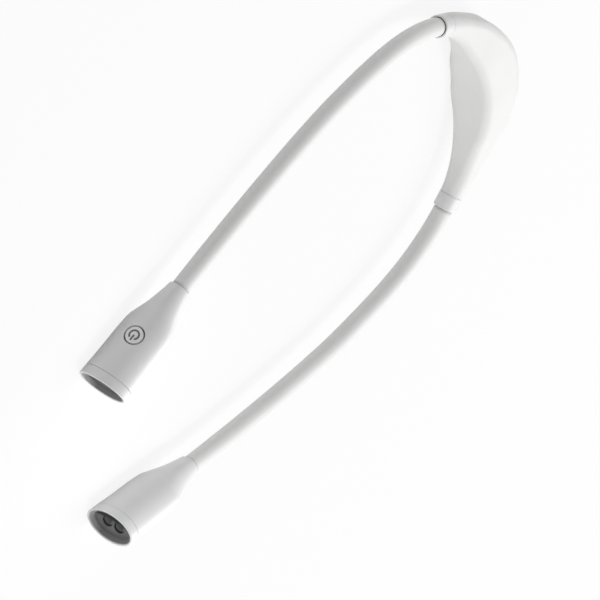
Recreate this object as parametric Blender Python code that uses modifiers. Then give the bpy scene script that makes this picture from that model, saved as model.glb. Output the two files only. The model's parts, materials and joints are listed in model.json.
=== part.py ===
"""Neck reading light: a soft-skinned nape pod, two bendable arms and two lamp heads.

The light lies as it rests on a table, with the wearer's neck space between the arms.
+Z is up, the heads point to -Y, and the wearer's right arm is at -X.
The origin is on the pod's flat underside, below the middle of the pod.

The pod and the arms follow one flat curve, the spine, at one height above the table.
Each arm is three stiff lengths of gooseneck, joined by ball-ended friction joints that
stand for the bending of the real one. Every hinge centre lies on the spine.
"""

import math

import bmesh
import bpy
import numpy as np
from mathutils import Matrix, Vector

# Overall layout, in metres
SPINE_HEIGHT = 0.0144
COLLAR_HALF_SPACING = 0.0750
COLLAR_SETBACK = 0.0357
COLLAR_HEADING = math.radians(37.8)
ARM_HALF_SPREAD = 0.0951
ARM_WIDEST_FORWARD = 0.0818
NECK_HALF_SPACING = 0.0738
NECK_FORWARD = 0.2099
HEAD_TOE_IN = math.radians(13.7)
ARM_COLLAR_PULL = 0.0309
ARM_REAR_PULL = 0.0332
ARM_FRONT_PULL = 0.0258
ARM_NECK_PULL = 0.0504
POD_END_PULL = 0.0137
POD_BACK_PULL = 0.0330

# Clearances and walls shared by all pieces
GAP = 0.0003
SKIN_WALL = 0.0015
CHASSIS_WALL = 0.0012
CUT_OVERRUN = 0.0010
RIM_STEP = 0.0006
MERGE_DISTANCE = 0.000002

# Pod: its section at shares of the way from each end to the middle. It rises above the spine and
# drops below it, and its outer side is the one away from the neck
POD_SHARES = (0.0, 0.2, 0.4, 0.6, 0.8, 0.88, 1.0)
POD_HALF_THICKNESSES = (0.0061, 0.0073, 0.0102, 0.0121, 0.0134, 0.0136, 0.0136)
POD_RISES = (0.0061, 0.0072, 0.0096, 0.0126, 0.0142, 0.0144, 0.0144)
POD_DROPS = (0.0061, 0.0071, 0.0086, 0.0111, 0.0139, 0.0144, 0.0144)
POD_UPPER_CORNERS = (0.0061, 0.0050, 0.0047, 0.0047, 0.0047, 0.0046, 0.0046)
POD_OUTER_CORNERS = (0.0061, 0.0071, 0.0078, 0.0066, 0.0050, 0.0046, 0.0046)
POD_INNER_CORNERS = (0.0061, 0.0063, 0.0068, 0.0071, 0.0072, 0.0072, 0.0072)
POD_RINGS = 19
CORNER_STEPS = 3

# Pod: what it holds
CELL_SIZE = (0.0400, 0.0090, 0.0185)
CELL_CORNER = 0.0020
CELL_FRONT = 0.0098
CELL_BOTTOM = 0.0052
PAD_SIZE = (0.0160, 0.0034)
BOARD_SIZE = (0.0360, 0.0010, 0.0170)
BOARD_BOTTOM = 0.0049
BOARD_BEHIND_CELL = 0.0014
PORT_WIDTH = 0.00894
PORT_THICKNESS = 0.00316
PORT_DEPTH = 0.0073
PORT_CORNER = 0.0013
PORT_SHELL = 0.0003
PORT_CAVITY_DEPTH = 0.0062
PORT_RECESS = 0.0008
TONGUE_WIDTH = 0.0067
TONGUE_THICKNESS = 0.0007
TONGUE_LENGTH = 0.0045
INDICATOR_RADIUS = 0.0010
INDICATOR_LENGTH = 0.0066
INDICATOR_RECESS = 0.0002
INDICATOR_OFFSET = 0.0085
CELL_LEAD_RADIUS = 0.0009
CELL_LEAD_REACH = 0.0052
LEAD_RADIUS = 0.0008
POD_LEAD_HEIGHT = 0.0040
POD_LEAD_RUN_IN = 0.0020
WIRE_SIDE_STEPS = 1

# Arms
ARM_RADIUS = 0.0050
BORE_RADIUS = 0.0029
JOINT_OUTSIDE_COLLAR = 0.0016
LOWER_JOINT_SHARE = 0.36
UPPER_JOINT_SHARE = 0.69
CORE_RADIUS = 0.0015
CORE_DROP = 0.0010
LEAD_RISE = 0.00175
WIRE_BALL_INSET = 0.0032
WIRE_CUP_INSET = 0.0056
SLEEVE_SIDES = 16
SLEEVE_STEPS = 6
BALL_STEPS = 3

# Collars, anchors and ferrules: turned pieces on the spine
COLLAR_LENGTH = 0.0081
COLLAR_RADIUS = 0.0060
COLLAR_FILLET = 0.0005
SOCKET_RADIUS = 0.0053
FLANGE_RADIUS = 0.0050
FLANGE_START = 0.0025
FLANGE_LENGTH = 0.0050
ANCHOR_TAIL_RADIUS = 0.0026
ANCHOR_TAIL_LENGTH = 0.0040
FERRULE_TAIL_RADIUS = 0.0040
FERRULE_TAIL_LENGTH = 0.0045
LEAD_BORE_RADIUS = 0.0013
CUP_RADIUS = ARM_RADIUS + GAP
BALL_CUP_REACH = CUP_RADIUS - JOINT_OUTSIDE_COLLAR
TURNED_SIDES = 20
CUP_STEPS = 3

# Heads: half sizes at shares of the way from the mouth to the neck
HEAD_LENGTH = 0.0655
HEAD_SHARES = (0.0, 0.2595, 0.458, 0.595, 0.6580, 0.7115, 0.7700, 0.8321, 0.8931, 0.9542, 1.0)
HEAD_BODY_SHARE = 0.458
HEAD_HALF_WIDTHS = (0.0144, 0.0139, 0.01372, 0.0132, 0.0120, 0.0107, 0.0093, 0.0082, 0.0073, 0.0065, 0.0062)
HEAD_HALF_HEIGHTS = (0.0093, 0.0091, 0.00903, 0.0088, 0.0084, 0.0081, 0.0077, 0.0073, 0.0069, 0.0064, 0.0062)
BEZEL_DEPTH = 0.0056
HEAD_SEAT_WALL = 0.0015
HEAD_WALL = 0.0023
MOUTH_HALF_WIDTH = 0.0129
MOUTH_HALF_HEIGHT = 0.0078
LEDGE_HALF_WIDTH = 0.0112
LEDGE_HALF_HEIGHT = 0.0061
SPIGOT_LENGTH = 0.0027
LEDGE_DEPTH = 0.0010
HEAD_INNER_RINGS = 7
PLATE_RECESS = 0.0033
DISH_RIM_RECESS = 0.0006
DISH_RIM_WALL = 0.0005
DISH_FLARE = 0.0010
LED_BOARD_THICKNESS = 0.0012
LENS_SPACING = 0.00745
LENS_RADIUS = 0.0028
LENS_DOME = 0.0012
LENS_SINK = 0.0010
OVAL_SIDES = 24
HEAD_RINGS = 11

# Heads: button and switch, measured outwards from the head's axis
BUTTON_FROM_NECK = 0.0356
BUTTON_RADIUS = 0.00475
BUTTON_HOLE_RADIUS = 0.0055
BUTTON_SINK = 0.00015
BUTTON_FLANGE_RADIUS = 0.0059
BUTTON_FLANGE_TOP = 0.0054
BUTTON_FLANGE_THICKNESS = 0.0008
BUTTON_POST_RADIUS = 0.0011
SWITCH_BOARD_LEVEL = -0.0010
SWITCH_BOARD_THICKNESS = 0.0010
SWITCH_BOARD_HALF_WIDTH = 0.0096
HEAD_LEAD_RUN = 0.0145
SWITCH_SIZE = 0.0060
SWITCH_HEIGHT = 0.0025
PLUNGER_RADIUS = 0.0017
PLUNGER_HEIGHT = 0.0021
PLUNGER_OUT = 0.0012
PLUNGER_HOLE_DEPTH = 0.0019

SIDES = {"right": -1, "left": 1}
UP = Vector((0, 0, 1))

# Colours as red, green, blue; then roughness and metallic
FINISHES = {
    "white_silicone": ((0.86, 0.86, 0.85), 0.55, 0.0),
    "white_plastic": ((0.88, 0.88, 0.87), 0.35, 0.0),
    "inner_plastic": ((0.32, 0.33, 0.34), 0.60, 0.0),
    "lens_plate_plastic": ((0.20, 0.20, 0.20), 0.45, 0.0),
    "lens_plastic": ((0.35, 0.36, 0.38), 0.10, 0.0),
    "steel": ((0.62, 0.62, 0.60), 0.35, 1.0),
    "circuit_board": ((0.05, 0.22, 0.12), 0.50, 0.0),
    "cell_wrap": ((0.55, 0.60, 0.66), 0.40, 0.0),
    "foam": ((0.12, 0.12, 0.12), 0.90, 0.0),
    "lead_sheath": ((0.10, 0.10, 0.11), 0.50, 0.0),
    "switch_black": ((0.04, 0.04, 0.045), 0.40, 0.0),
}


def clear_scene():
    for old in list(bpy.data.objects):
        bpy.data.objects.remove(old, do_unlink=True)


def new_collection(name):
    collection = bpy.data.collections.new(name)
    bpy.context.scene.collection.children.link(collection)
    return collection


def make_materials():
    made = {}
    for name, (colour, roughness, metallic) in FINISHES.items():
        material = bpy.data.materials.new(name)
        material.use_nodes = True
        shader = material.node_tree.nodes["Principled BSDF"]
        shader.inputs["Base Color"].default_value = (*colour, 1.0)
        shader.inputs["Roughness"].default_value = roughness
        shader.inputs["Metallic"].default_value = metallic
        material.diffuse_color = (*colour, 1.0)
        made[name] = material
    return made


def bezier(points, shares):
    """A cubic Bezier curve's points and its derivative at shares of its parameter."""
    a, b, c, d = (np.array(p) for p in points)
    t = np.asarray(shares)[:, None]
    place = (1 - t) ** 3 * a + 3 * (1 - t) ** 2 * t * b + 3 * (1 - t) * t**2 * c + t**3 * d
    slope = 3 * (1 - t) ** 2 * (b - a) + 6 * (1 - t) * t * (c - b) + 3 * t**2 * (d - c)
    return place, slope


class Spine:
    """One side's curve from the middle of the pod to the neck of the head.

    Distances run along it from the collar's mouth: positive out along the arm,
    negative back through the collar and into the pod.
    """

    def __init__(self, side):
        self.side = side
        self.back = Vector((0, 1))
        out = Vector((math.sin(COLLAR_HEADING), -math.cos(COLLAR_HEADING)))
        inward = Vector((-math.sin(HEAD_TOE_IN), -math.cos(HEAD_TOE_IN)))
        collar = Vector((COLLAR_HALF_SPACING, -COLLAR_SETBACK))
        widest = Vector((ARM_HALF_SPREAD, -COLLAR_SETBACK - ARM_WIDEST_FORWARD))
        neck = Vector((NECK_HALF_SPACING, -COLLAR_SETBACK - NECK_FORWARD))
        pod_end = collar - COLLAR_LENGTH * out
        runs = (
            ((0, 0), (POD_BACK_PULL, 0), pod_end - POD_END_PULL * out, pod_end),
            (pod_end, pod_end.lerp(collar, 1 / 3), pod_end.lerp(collar, 2 / 3), collar),
            (collar, collar + ARM_COLLAR_PULL * out, widest + ARM_REAR_PULL * self.back, widest),
            (widest, widest - ARM_FRONT_PULL * self.back, neck - ARM_NECK_PULL * inward, neck),
        )
        shares = np.linspace(0, 1, 200)
        traced = [bezier(run, shares) for run in runs]
        self.places = np.vstack([place[:-1] for place, _ in traced] + [traced[-1][0][-1:]])
        self.slopes = np.vstack([slope[:-1] for _, slope in traced] + [traced[-1][1][-1:]])
        steps = np.hypot(*np.diff(self.places, axis=0).T)
        lengths = np.concatenate([[0], np.cumsum(steps)])
        collar_index = 2 * (len(shares) - 1)
        self.lengths = lengths - lengths[collar_index]
        self.middle = float(self.lengths[0])
        self.neck = float(self.lengths[-1])

    def frame(self, distance):
        """The point and the unit direction at a distance; past the ends it runs straight."""
        inside = min(max(distance, self.middle), self.neck)
        x, y, dx, dy = (
            float(np.interp(inside, self.lengths, column))
            for column in (*self.places.T, *self.slopes.T)
        )
        point = Vector((self.side * x, y, SPINE_HEIGHT))
        forward = Vector((self.side * dx, dy, 0)).normalized()
        return point + (distance - inside) * forward, forward


def across_of(forward):
    """The level direction square to the spine."""
    return forward.cross(UP)


def mesh_object(name, vertices, faces, finish):
    """An object from points and faces, with its faces turned outwards."""
    mesh = bpy.data.meshes.new(name)
    mesh.from_pydata([tuple(v) for v in vertices], [], faces)
    work = bmesh.new()
    work.from_mesh(mesh)
    bmesh.ops.recalc_face_normals(work, faces=work.faces)
    if work.calc_volume(signed=True) < 0:
        bmesh.ops.reverse_faces(work, faces=work.faces)
    work.to_mesh(mesh)
    work.free()
    return finished(bpy.data.objects.new(name, mesh), finish)


def finished(piece, finish):
    """Puts a piece in the model, with its material and smooth round faces."""
    PARTS.objects.link(piece)
    piece.data.materials.append(MATERIALS[finish])
    if piece.type == "MESH":
        piece.data.shade_smooth()
        piece.data.set_sharp_from_angle(angle=math.radians(35))
    return piece


def cutter(name, vertices, faces):
    """A closed helper shape that is cut from a piece and never shown."""
    shape = mesh_object(name, vertices, faces, "inner_plastic")
    return as_cutter(shape)


def as_cutter(shape):
    PARTS.objects.unlink(shape)
    CUTTERS.objects.link(shape)
    shape.hide_render = True
    shape.display_type = "WIRE"
    return shape


def boolean(piece, tool, operation):
    modifier = piece.modifiers.new(tool.name, "BOOLEAN")
    modifier.operation = operation
    modifier.object = tool
    modifier.solver = "EXACT"
    return piece


def lofted(rings, looped):
    """Vertices and faces of a skin through equal rings of points.

    A looped skin joins its last ring to its first, like a tube with a bore.
    Otherwise a flat face closes each end.
    """
    count = len(rings[0])
    vertices = [point for ring in rings for point in ring]
    pairs = [(i, i + 1) for i in range(len(rings) - 1)]
    if looped:
        pairs.append((len(rings) - 1, 0))
    faces = []
    for one, two in pairs:
        for k in range(count):
            after = (k + 1) % count
            faces.append((one * count + k, one * count + after, two * count + after, two * count + k))
    if not looped:
        faces.append(tuple(range(count)))
        last = (len(rings) - 1) * count
        faces.append(tuple(last + k for k in range(count)))
    return vertices, faces


def oval(half_width, half_height, sides):
    """Points round an ellipse, as pairs, starting on the first axis."""
    angles = [2 * math.pi * k / sides for k in range(sides)]
    return [(half_width * math.cos(a), half_height * math.sin(a)) for a in angles]


def corner_arc(quarter, x, y, radius, steps):
    """Points along a quarter of a circle, as pairs; the quarters count from the first axis."""
    angles = [(quarter + k / steps) * math.pi / 2 for k in range(steps + 1)]
    return [(x + radius * math.cos(angle), y + radius * math.sin(angle)) for angle in angles]


def rounded_rectangle(half_width, half_height, corner, steps):
    """Points round a rectangle with round corners, as pairs, from the upper right corner."""
    radius = min(corner, half_width, half_height)
    points = []
    for quarter, (sx, sy) in enumerate(((1, 1), (-1, 1), (-1, -1), (1, -1))):
        points += corner_arc(quarter, sx * (half_width - radius), sy * (half_height - radius), radius, steps)
    return points


def turned(name, profile, finish, sides=TURNED_SIDES):
    """A piece turned about its own Z axis from (radius, height) points, outer side first, going down.

    A profile that starts and ends on the axis makes a solid piece; any other is a closed ring.
    """
    on_axis = profile[0][0] == 0
    mesh = bpy.data.meshes.new(name)
    count = len(profile)
    edges = [(i, i + 1) for i in range(count - 1)]
    if not on_axis:
        edges.append((count - 1, 0))
    mesh.from_pydata([(radius, 0, height) for radius, height in profile], edges, [])
    piece = bpy.data.objects.new(name, mesh)
    screw = piece.modifiers.new("turn", "SCREW")
    screw.axis = "Z"
    screw.steps = sides
    screw.render_steps = sides
    screw.use_merge_vertices = True
    screw.merge_threshold = MERGE_DISTANCE
    return finished(piece, finish)


def rounded_box(name, low, high, corner, finish):
    """A box between two corners, with round edges where corner is more than zero."""
    work = bmesh.new()
    bmesh.ops.create_cube(work, size=1)
    for vertex in work.verts:
        for axis in range(3):
            vertex.co[axis] = low[axis] if vertex.co[axis] < 0 else high[axis]
    mesh = bpy.data.meshes.new(name)
    work.to_mesh(mesh)
    work.free()
    box = bpy.data.objects.new(name, mesh)
    if corner > 0:
        bevel = box.modifiers.new("round", "BEVEL")
        bevel.width = corner
        bevel.segments = 2
    return finished(box, finish)


def slab(name, outline, low, high, matrix, finish):
    """A flat piece: an outline in the matrix's X and Y, from low to high along its Z."""
    rings = [[matrix @ Vector((x, y, level)) for x, y in outline] for level in (low, high)]
    return mesh_object(name, *lofted(rings, False), finish)


def wire(name, route, radius, finish):
    """A round wire through the points of a route."""
    curve = bpy.data.curves.new(name, "CURVE")
    curve.dimensions = "3D"
    curve.bevel_depth = radius
    curve.bevel_resolution = WIRE_SIDE_STEPS
    curve.use_fill_caps = True
    spline = curve.splines.new("POLY")
    spline.points.add(len(route) - 1)
    for point, place in zip(spline.points, route):
        point.co = (*place, 1)
    return finished(bpy.data.objects.new(name, curve), finish)


def smooth_route(points, count):
    """Points at even distances on a smooth curve through chosen points."""
    knots = [Vector(p) for p in points]
    gaps = [(after - before).length for before, after in zip(knots, knots[1:])]
    chords = [(after - before) / gap for before, after, gap in zip(knots, knots[1:], gaps)]
    slopes = [chords[0]]
    for k in range(1, len(chords)):
        slopes.append((chords[k - 1] * gaps[k] + chords[k] * gaps[k - 1]) / (gaps[k - 1] + gaps[k]))
    slopes.append(chords[-1])
    route = []
    for i in range(count):
        rest = sum(gaps) * i / (count - 1)
        k = 0
        while k < len(gaps) - 1 and rest > gaps[k]:
            rest -= gaps[k]
            k += 1
        t = rest / gaps[k]
        route.append(
            (1 + 2 * t) * (1 - t) ** 2 * knots[k]
            + t * (1 - t) ** 2 * gaps[k] * slopes[k]
            + t**2 * (3 - 2 * t) * knots[k + 1]
            - t**2 * (1 - t) * gaps[k] * slopes[k + 1]
        )
    return route


def sizes_at(share, shares, sizes):
    """A size between given ones, eased so that it changes without a corner."""
    knots = list(shares)
    slopes = []
    for i in range(len(knots)):
        if i in (0, len(knots) - 1):
            slopes.append(0)
            continue
        before = (sizes[i] - sizes[i - 1]) / (knots[i] - knots[i - 1])
        after = (sizes[i + 1] - sizes[i]) / (knots[i + 1] - knots[i])
        slopes.append(2 * before * after / (before + after) if before * after > 0 else 0)
    k = max(i for i in range(len(knots) - 1) if knots[i] <= share or i == 0)
    width = knots[k + 1] - knots[k]
    t = (share - knots[k]) / width
    return (
        (1 + 2 * t) * (1 - t) ** 2 * sizes[k]
        + t * (1 - t) ** 2 * width * slopes[k]
        + t**2 * (3 - 2 * t) * sizes[k + 1]
        - t**2 * (1 - t) * width * slopes[k + 1]
    )


def joined_to(body, piece):
    """Parents a piece to its body's empty, with its own origin moved onto the joint."""
    pivot = body.matrix_world.copy()
    place = piece.matrix_world.copy()
    if piece.type == "MESH" and place == Matrix.Identity(4):
        piece.data.transform(pivot.inverted())
        piece.matrix_world = pivot
    piece.parent = body
    piece.matrix_parent_inverse = body.matrix_world.inverted()
    return piece


def new_body(name, matrix):
    empty = bpy.data.objects.new(name, None)
    empty.empty_display_size = ARM_RADIUS
    empty.matrix_world = matrix
    PARTS.objects.link(empty)
    return empty


def axes_matrix(origin, x_axis, y_axis, z_axis):
    matrix = Matrix((x_axis, y_axis, z_axis)).transposed().to_4x4()
    matrix.translation = origin
    return matrix


def pod_section(share, inset):
    """Points round the pod's section, as pairs out and up, from its outer upper corner."""
    laws = (
        POD_HALF_THICKNESSES,
        POD_RISES,
        POD_DROPS,
        POD_UPPER_CORNERS,
        POD_OUTER_CORNERS,
        POD_INNER_CORNERS,
    )
    half, rise, drop, upper, outer, inner = (sizes_at(share, POD_SHARES, law) - inset for law in laws)
    sides = ((1, 1, rise, upper), (-1, 1, rise, upper), (-1, -1, drop, inner), (1, -1, drop, outer))
    points = []
    for quarter, (sx, sz, height, corner) in enumerate(sides):
        radius = min(max(corner, GAP), half, height)
        points += corner_arc(quarter, sx * (half - radius), sz * (height - radius), radius, CORNER_STEPS)
    return points


def pod_ring(side_spines, distance, inset, span=None):
    """Points round the pod at a distance from its middle, drawn in by an inset.

    A span takes only the lower or the upper half, as an open arc of points.
    """
    spine = side_spines["left"] if distance > 0 else side_spines["right"]
    length = -spine.middle - COLLAR_LENGTH
    outline = pod_section(1 - abs(distance) / length, inset)
    point, forward = spine.frame(spine.middle + abs(distance))
    across = across_of(forward)
    outward = across if across.y > 0 else -across
    if span == "lower":
        outline = outline[len(outline) // 2 :]
    elif span == "upper":
        outline = outline[: len(outline) // 2]
    return [point + x * outward + z * UP for x, z in outline]


def pod_distances(spines):
    reach = -spines["left"].middle - COLLAR_LENGTH
    return [reach * (2 * k / (POD_RINGS - 1) - 1) for k in range(POD_RINGS)]


def make_pod_skin(spines):
    """The outer skin: a wall between the pod's outline and the same outline drawn in."""
    distances = pod_distances(spines)
    outer = [pod_ring(spines, d, 0) for d in distances]
    inner = [pod_ring(spines, d, SKIN_WALL) for d in reversed(distances)]
    return mesh_object("pod_skin", *lofted(outer + inner, True), "white_silicone")


def make_chassis(spines, name, span):
    """Half of the inner housing: a trough that follows the pod, open towards the other half."""
    outside = SKIN_WALL + GAP
    inside = outside + CHASSIS_WALL
    away = -1 if span == "lower" else 1
    rings = []
    for distance in pod_distances(spines):
        ring = []
        outer, inner = (pod_ring(spines, distance, inset, span) for inset in (outside, inside))
        for arc in (outer, inner[::-1]):
            for end in (arc[0], arc[-1]):
                clear = max(away * (end.z - SPINE_HEIGHT), RIM_STEP)
                end.z = SPINE_HEIGHT + away * clear
            rims = [Vector((end.x, end.y, SPINE_HEIGHT + away * GAP / 2)) for end in (arc[0], arc[-1])]
            ring += [rims[0], *arc, rims[1]]
        rings.append(ring)
    return mesh_object(name, *lofted(rings, False), "inner_plastic")


def make_port_and_holes(skin, tray):
    """The charging port and its light pipe, with the holes they look out of."""
    front = -CELL_FRONT + CELL_SIZE[1] + BOARD_BEHIND_CELL
    near = front + BOARD_SIZE[1] + GAP
    centre = near + PORT_THICKNESS / 2
    outline = rounded_rectangle(PORT_WIDTH / 2, PORT_THICKNESS / 2, PORT_CORNER, CORNER_STEPS)
    upright = axes_matrix(Vector((0, centre, 0)), Vector((1, 0, 0)), Vector((0, 1, 0)), UP)
    port = slab("charging_port", outline, PORT_RECESS, PORT_RECESS + PORT_DEPTH, upright, "steel")
    cavity_outline = rounded_rectangle(
        PORT_WIDTH / 2 - PORT_SHELL,
        PORT_THICKNESS / 2 - PORT_SHELL,
        PORT_CORNER - PORT_SHELL,
        CORNER_STEPS,
    )
    cavity = slab(
        "port_cavity",
        cavity_outline,
        PORT_RECESS - CUT_OVERRUN,
        PORT_RECESS + PORT_CAVITY_DEPTH,
        upright,
        "steel",
    )
    boolean(port, as_cutter(cavity), "DIFFERENCE")
    tongue_tip = PORT_RECESS + PORT_CAVITY_DEPTH - TONGUE_LENGTH
    tongue_root = PORT_RECESS + (PORT_DEPTH + PORT_CAVITY_DEPTH) / 2
    tongue = rounded_box(
        "port_tongue",
        (-TONGUE_WIDTH / 2, centre - TONGUE_THICKNESS / 2, tongue_tip),
        (TONGUE_WIDTH / 2, centre + TONGUE_THICKNESS / 2, tongue_root),
        0,
        "steel",
    )
    boolean(port, as_cutter(tongue), "UNION")
    hole_outline = rounded_rectangle(
        PORT_WIDTH / 2 + GAP, PORT_THICKNESS / 2 + GAP, PORT_CORNER + GAP, CORNER_STEPS
    )
    wall_top = SKIN_WALL + GAP + CHASSIS_WALL + CUT_OVERRUN
    port_hole = as_cutter(slab("port_hole", hole_outline, -CUT_OVERRUN, wall_top, upright, "steel"))
    pipe_outline = oval(INDICATOR_RADIUS + GAP, INDICATOR_RADIUS + GAP, SLEEVE_SIDES)
    beside = upright.copy()
    beside.translation.x = INDICATOR_OFFSET
    pipe_hole = as_cutter(slab("pipe_hole", pipe_outline, -CUT_OVERRUN, wall_top, beside, "steel"))
    for shell in (skin, tray):
        boolean(shell, port_hole, "DIFFERENCE")
        boolean(shell, pipe_hole, "DIFFERENCE")
    pipe_outline = oval(INDICATOR_RADIUS, INDICATOR_RADIUS, SLEEVE_SIDES)
    pipe_top = INDICATOR_RECESS + INDICATOR_LENGTH
    slab("indicator_lens", pipe_outline, INDICATOR_RECESS, pipe_top, beside, "lens_plastic")


def make_cell_and_board():
    """The rechargeable cell, its foam pad, the control board behind it and the lead between them."""
    half_length = CELL_SIZE[0] / 2
    cell_back = -CELL_FRONT + CELL_SIZE[1]
    rounded_box(
        "battery_cell",
        (-half_length, -CELL_FRONT, CELL_BOTTOM),
        (half_length, cell_back, CELL_BOTTOM + CELL_SIZE[2]),
        CELL_CORNER,
        "cell_wrap",
    )
    pad_middle = -CELL_FRONT + CELL_SIZE[1] / 2
    floor = SKIN_WALL + GAP + CHASSIS_WALL
    rounded_box(
        "battery_pad",
        (-PAD_SIZE[0] / 2, pad_middle - PAD_SIZE[1] / 2, floor + GAP),
        (PAD_SIZE[0] / 2, pad_middle + PAD_SIZE[1] / 2, CELL_BOTTOM - GAP),
        0,
        "foam",
    )
    board_front = cell_back + BOARD_BEHIND_CELL
    board_middle = board_front + BOARD_SIZE[1] / 2
    board_end = BOARD_SIZE[0] / 2
    rounded_box(
        "control_board",
        (-board_end, board_front, BOARD_BOTTOM),
        (board_end, board_front + BOARD_SIZE[1], BOARD_BOTTOM + BOARD_SIZE[2]),
        0,
        "circuit_board",
    )
    bulge = half_length + CELL_LEAD_REACH
    route = smooth_route(
        (
            (half_length + GAP, pad_middle, SPINE_HEIGHT),
            ((half_length + bulge) / 2, pad_middle, SPINE_HEIGHT),
            (bulge, (pad_middle + board_middle) / 2, SPINE_HEIGHT),
            ((half_length + bulge) / 2, board_middle, SPINE_HEIGHT),
            (board_end + GAP, board_middle, SPINE_HEIGHT),
        ),
        13,
    )
    wire("battery_lead", route, CELL_LEAD_RADIUS, "lead_sheath")
    return Vector((board_end + GAP, board_middle, SPINE_HEIGHT + POD_LEAD_HEIGHT))


def make_pod_lead(side, spine, board_edge):
    """The lead from the control board to the arm, straight through the anchor's bore."""
    start = Vector((SIDES[side] * board_edge.x, board_edge.y, board_edge.z))
    mouth, forward = spine.frame(0)
    anchor_end = FLANGE_START + FLANGE_LENGTH + ANCHOR_TAIL_LENGTH
    entry = mouth - (anchor_end + POD_LEAD_RUN_IN) * forward
    route = [start, start + Vector((SIDES[side] * POD_LEAD_RUN_IN, 0, 0))]
    first, last = spine.middle + BOARD_SIZE[0], -anchor_end - 2 * POD_LEAD_RUN_IN
    for k in range(3):
        route.append(spine.frame(first + (last - first) * k / 2)[0])
    route = smooth_route([*route, entry], 16)
    route.append(mouth - (BALL_CUP_REACH + GAP) * forward)
    wire(f"pod_lead_{side}", route, LEAD_RADIUS, "lead_sheath")


def spine_matrix(spine, distance, towards_head):
    """A frame on the spine whose Z axis runs along it."""
    point, forward = spine.frame(distance)
    z_axis = forward if towards_head else -forward
    x_axis = across_of(forward)
    return axes_matrix(point, x_axis, z_axis.cross(x_axis), z_axis)


def cup_profile(start, reach_radius, outer_radius, end, tail_radius, bore):
    """Half section of a plug with a ball cup, as (radius, depth) points, mouth first.

    Depth runs away from the ball, from the plane that the ball's centre stands clear of.
    """
    cup_edge = math.sqrt(reach_radius**2 - (start + JOINT_OUTSIDE_COLLAR) ** 2)
    first = math.asin(cup_edge / reach_radius)
    last = math.asin(bore / reach_radius)
    points = [(outer_radius, start), (outer_radius, start + FLANGE_LENGTH)]
    points += [(tail_radius, start + FLANGE_LENGTH), (tail_radius, end), (bore, end)]
    for k in range(CUP_STEPS + 1):
        angle = last + (first - last) * k / CUP_STEPS
        points.append(
            (reach_radius * math.sin(angle), reach_radius * math.cos(angle) - JOINT_OUTSIDE_COLLAR)
        )
    return points


def make_plug(name, tail_radius, tail_length, matrix):
    """A turned plug that holds the arm's ball: its cup looks out along the matrix's Z axis."""
    end = FLANGE_START + FLANGE_LENGTH + tail_length
    depths = cup_profile(FLANGE_START, CUP_RADIUS, FLANGE_RADIUS, end, tail_radius, LEAD_BORE_RADIUS)
    profile = [(radius, -depth) for radius, depth in depths]
    plug = turned(name, profile, "inner_plastic")
    plug.matrix_world = matrix
    return plug


def make_end_collar(side, matrix):
    """The rigid ring between the pod's skin and the arm, rounded at its mouth."""
    pod_radius = POD_RISES[0]
    depth = COLLAR_LENGTH - GAP
    profile = [
        (SOCKET_RADIUS, 0),
        (COLLAR_RADIUS - COLLAR_FILLET, 0),
        (COLLAR_RADIUS - COLLAR_FILLET * (1 - math.sqrt(1 / 2)), -COLLAR_FILLET * (1 - math.sqrt(1 / 2))),
        (COLLAR_RADIUS, -COLLAR_FILLET),
        (pod_radius, -depth),
        (SOCKET_RADIUS, -depth),
    ]
    collar = turned(f"end_collar_{side}", profile, "white_plastic")
    collar.matrix_world = matrix
    return collar


def ring_on(spine, anchor, offset, radius, sides):
    """Points round the spine near a joint, in the joint's own straight frame."""
    point, forward = spine.frame(anchor)
    centre = point + offset * forward
    across = across_of(forward)
    return [centre + x * across + y * UP for x, y in oval(radius, radius, sides)]


def ball_rings(spine, joint, towards):
    """Rings of a ball end, from the mouth of its bore to its widest."""
    first = math.asin(BORE_RADIUS / ARM_RADIUS)
    rings = []
    for k in range(BALL_STEPS):
        angle = first + (math.pi / 2 - first) * k / BALL_STEPS
        offset = -towards * ARM_RADIUS * math.cos(angle)
        rings.append(ring_on(spine, joint, offset, ARM_RADIUS * math.sin(angle), SLEEVE_SIDES))
    return rings


def cup_rings(spine, joint):
    """Rings of a cup end, from its sharp rim to the mouth of the bore."""
    first = math.asin(ARM_RADIUS / CUP_RADIUS)
    last = math.asin(BORE_RADIUS / CUP_RADIUS)
    rings = []
    for k in range(BALL_STEPS + 1):
        angle = first + (last - first) * k / BALL_STEPS
        rings.append(
            ring_on(spine, joint, -CUP_RADIUS * math.cos(angle), CUP_RADIUS * math.sin(angle), SLEEVE_SIDES)
        )
    return rings


def make_sleeve(name, spine, start, end, ends_in_ball):
    """A length of the arm's soft sleeve: a ball at the pod end, a cup or a ball at the other."""
    rings = ball_rings(spine, start, 1)
    rim = 0 if ends_in_ball else math.sqrt(CUP_RADIUS**2 - ARM_RADIUS**2)
    bore_stop = 0 if ends_in_ball else math.sqrt(CUP_RADIUS**2 - BORE_RADIUS**2)
    for k in range(SLEEVE_STEPS + ends_in_ball):
        anchor = start + (end - rim - start) * k / SLEEVE_STEPS
        rings.append(ring_on(spine, anchor, 0, ARM_RADIUS, SLEEVE_SIDES))
    rings += ball_rings(spine, end, -1)[::-1] if ends_in_ball else cup_rings(spine, end)
    bore_last = end - bore_stop
    for k in range(1, SLEEVE_STEPS + 1):
        anchor = bore_last + (start - bore_last) * k / SLEEVE_STEPS
        rings.append(ring_on(spine, anchor, 0, BORE_RADIUS, SLEEVE_SIDES))
    return mesh_object(name, *lofted(rings, True), "white_silicone")


def make_arm_wire(name, spine, start, end, rise, radius, finish):
    """A wire inside one length of the arm, at its own height in the bore."""
    count = SLEEVE_STEPS + 3
    route = []
    for k in range(count):
        point, _ = spine.frame(start + (end - start) * k / (count - 1))
        route.append(point + rise * UP)
    return wire(name, route, radius, finish)


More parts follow.
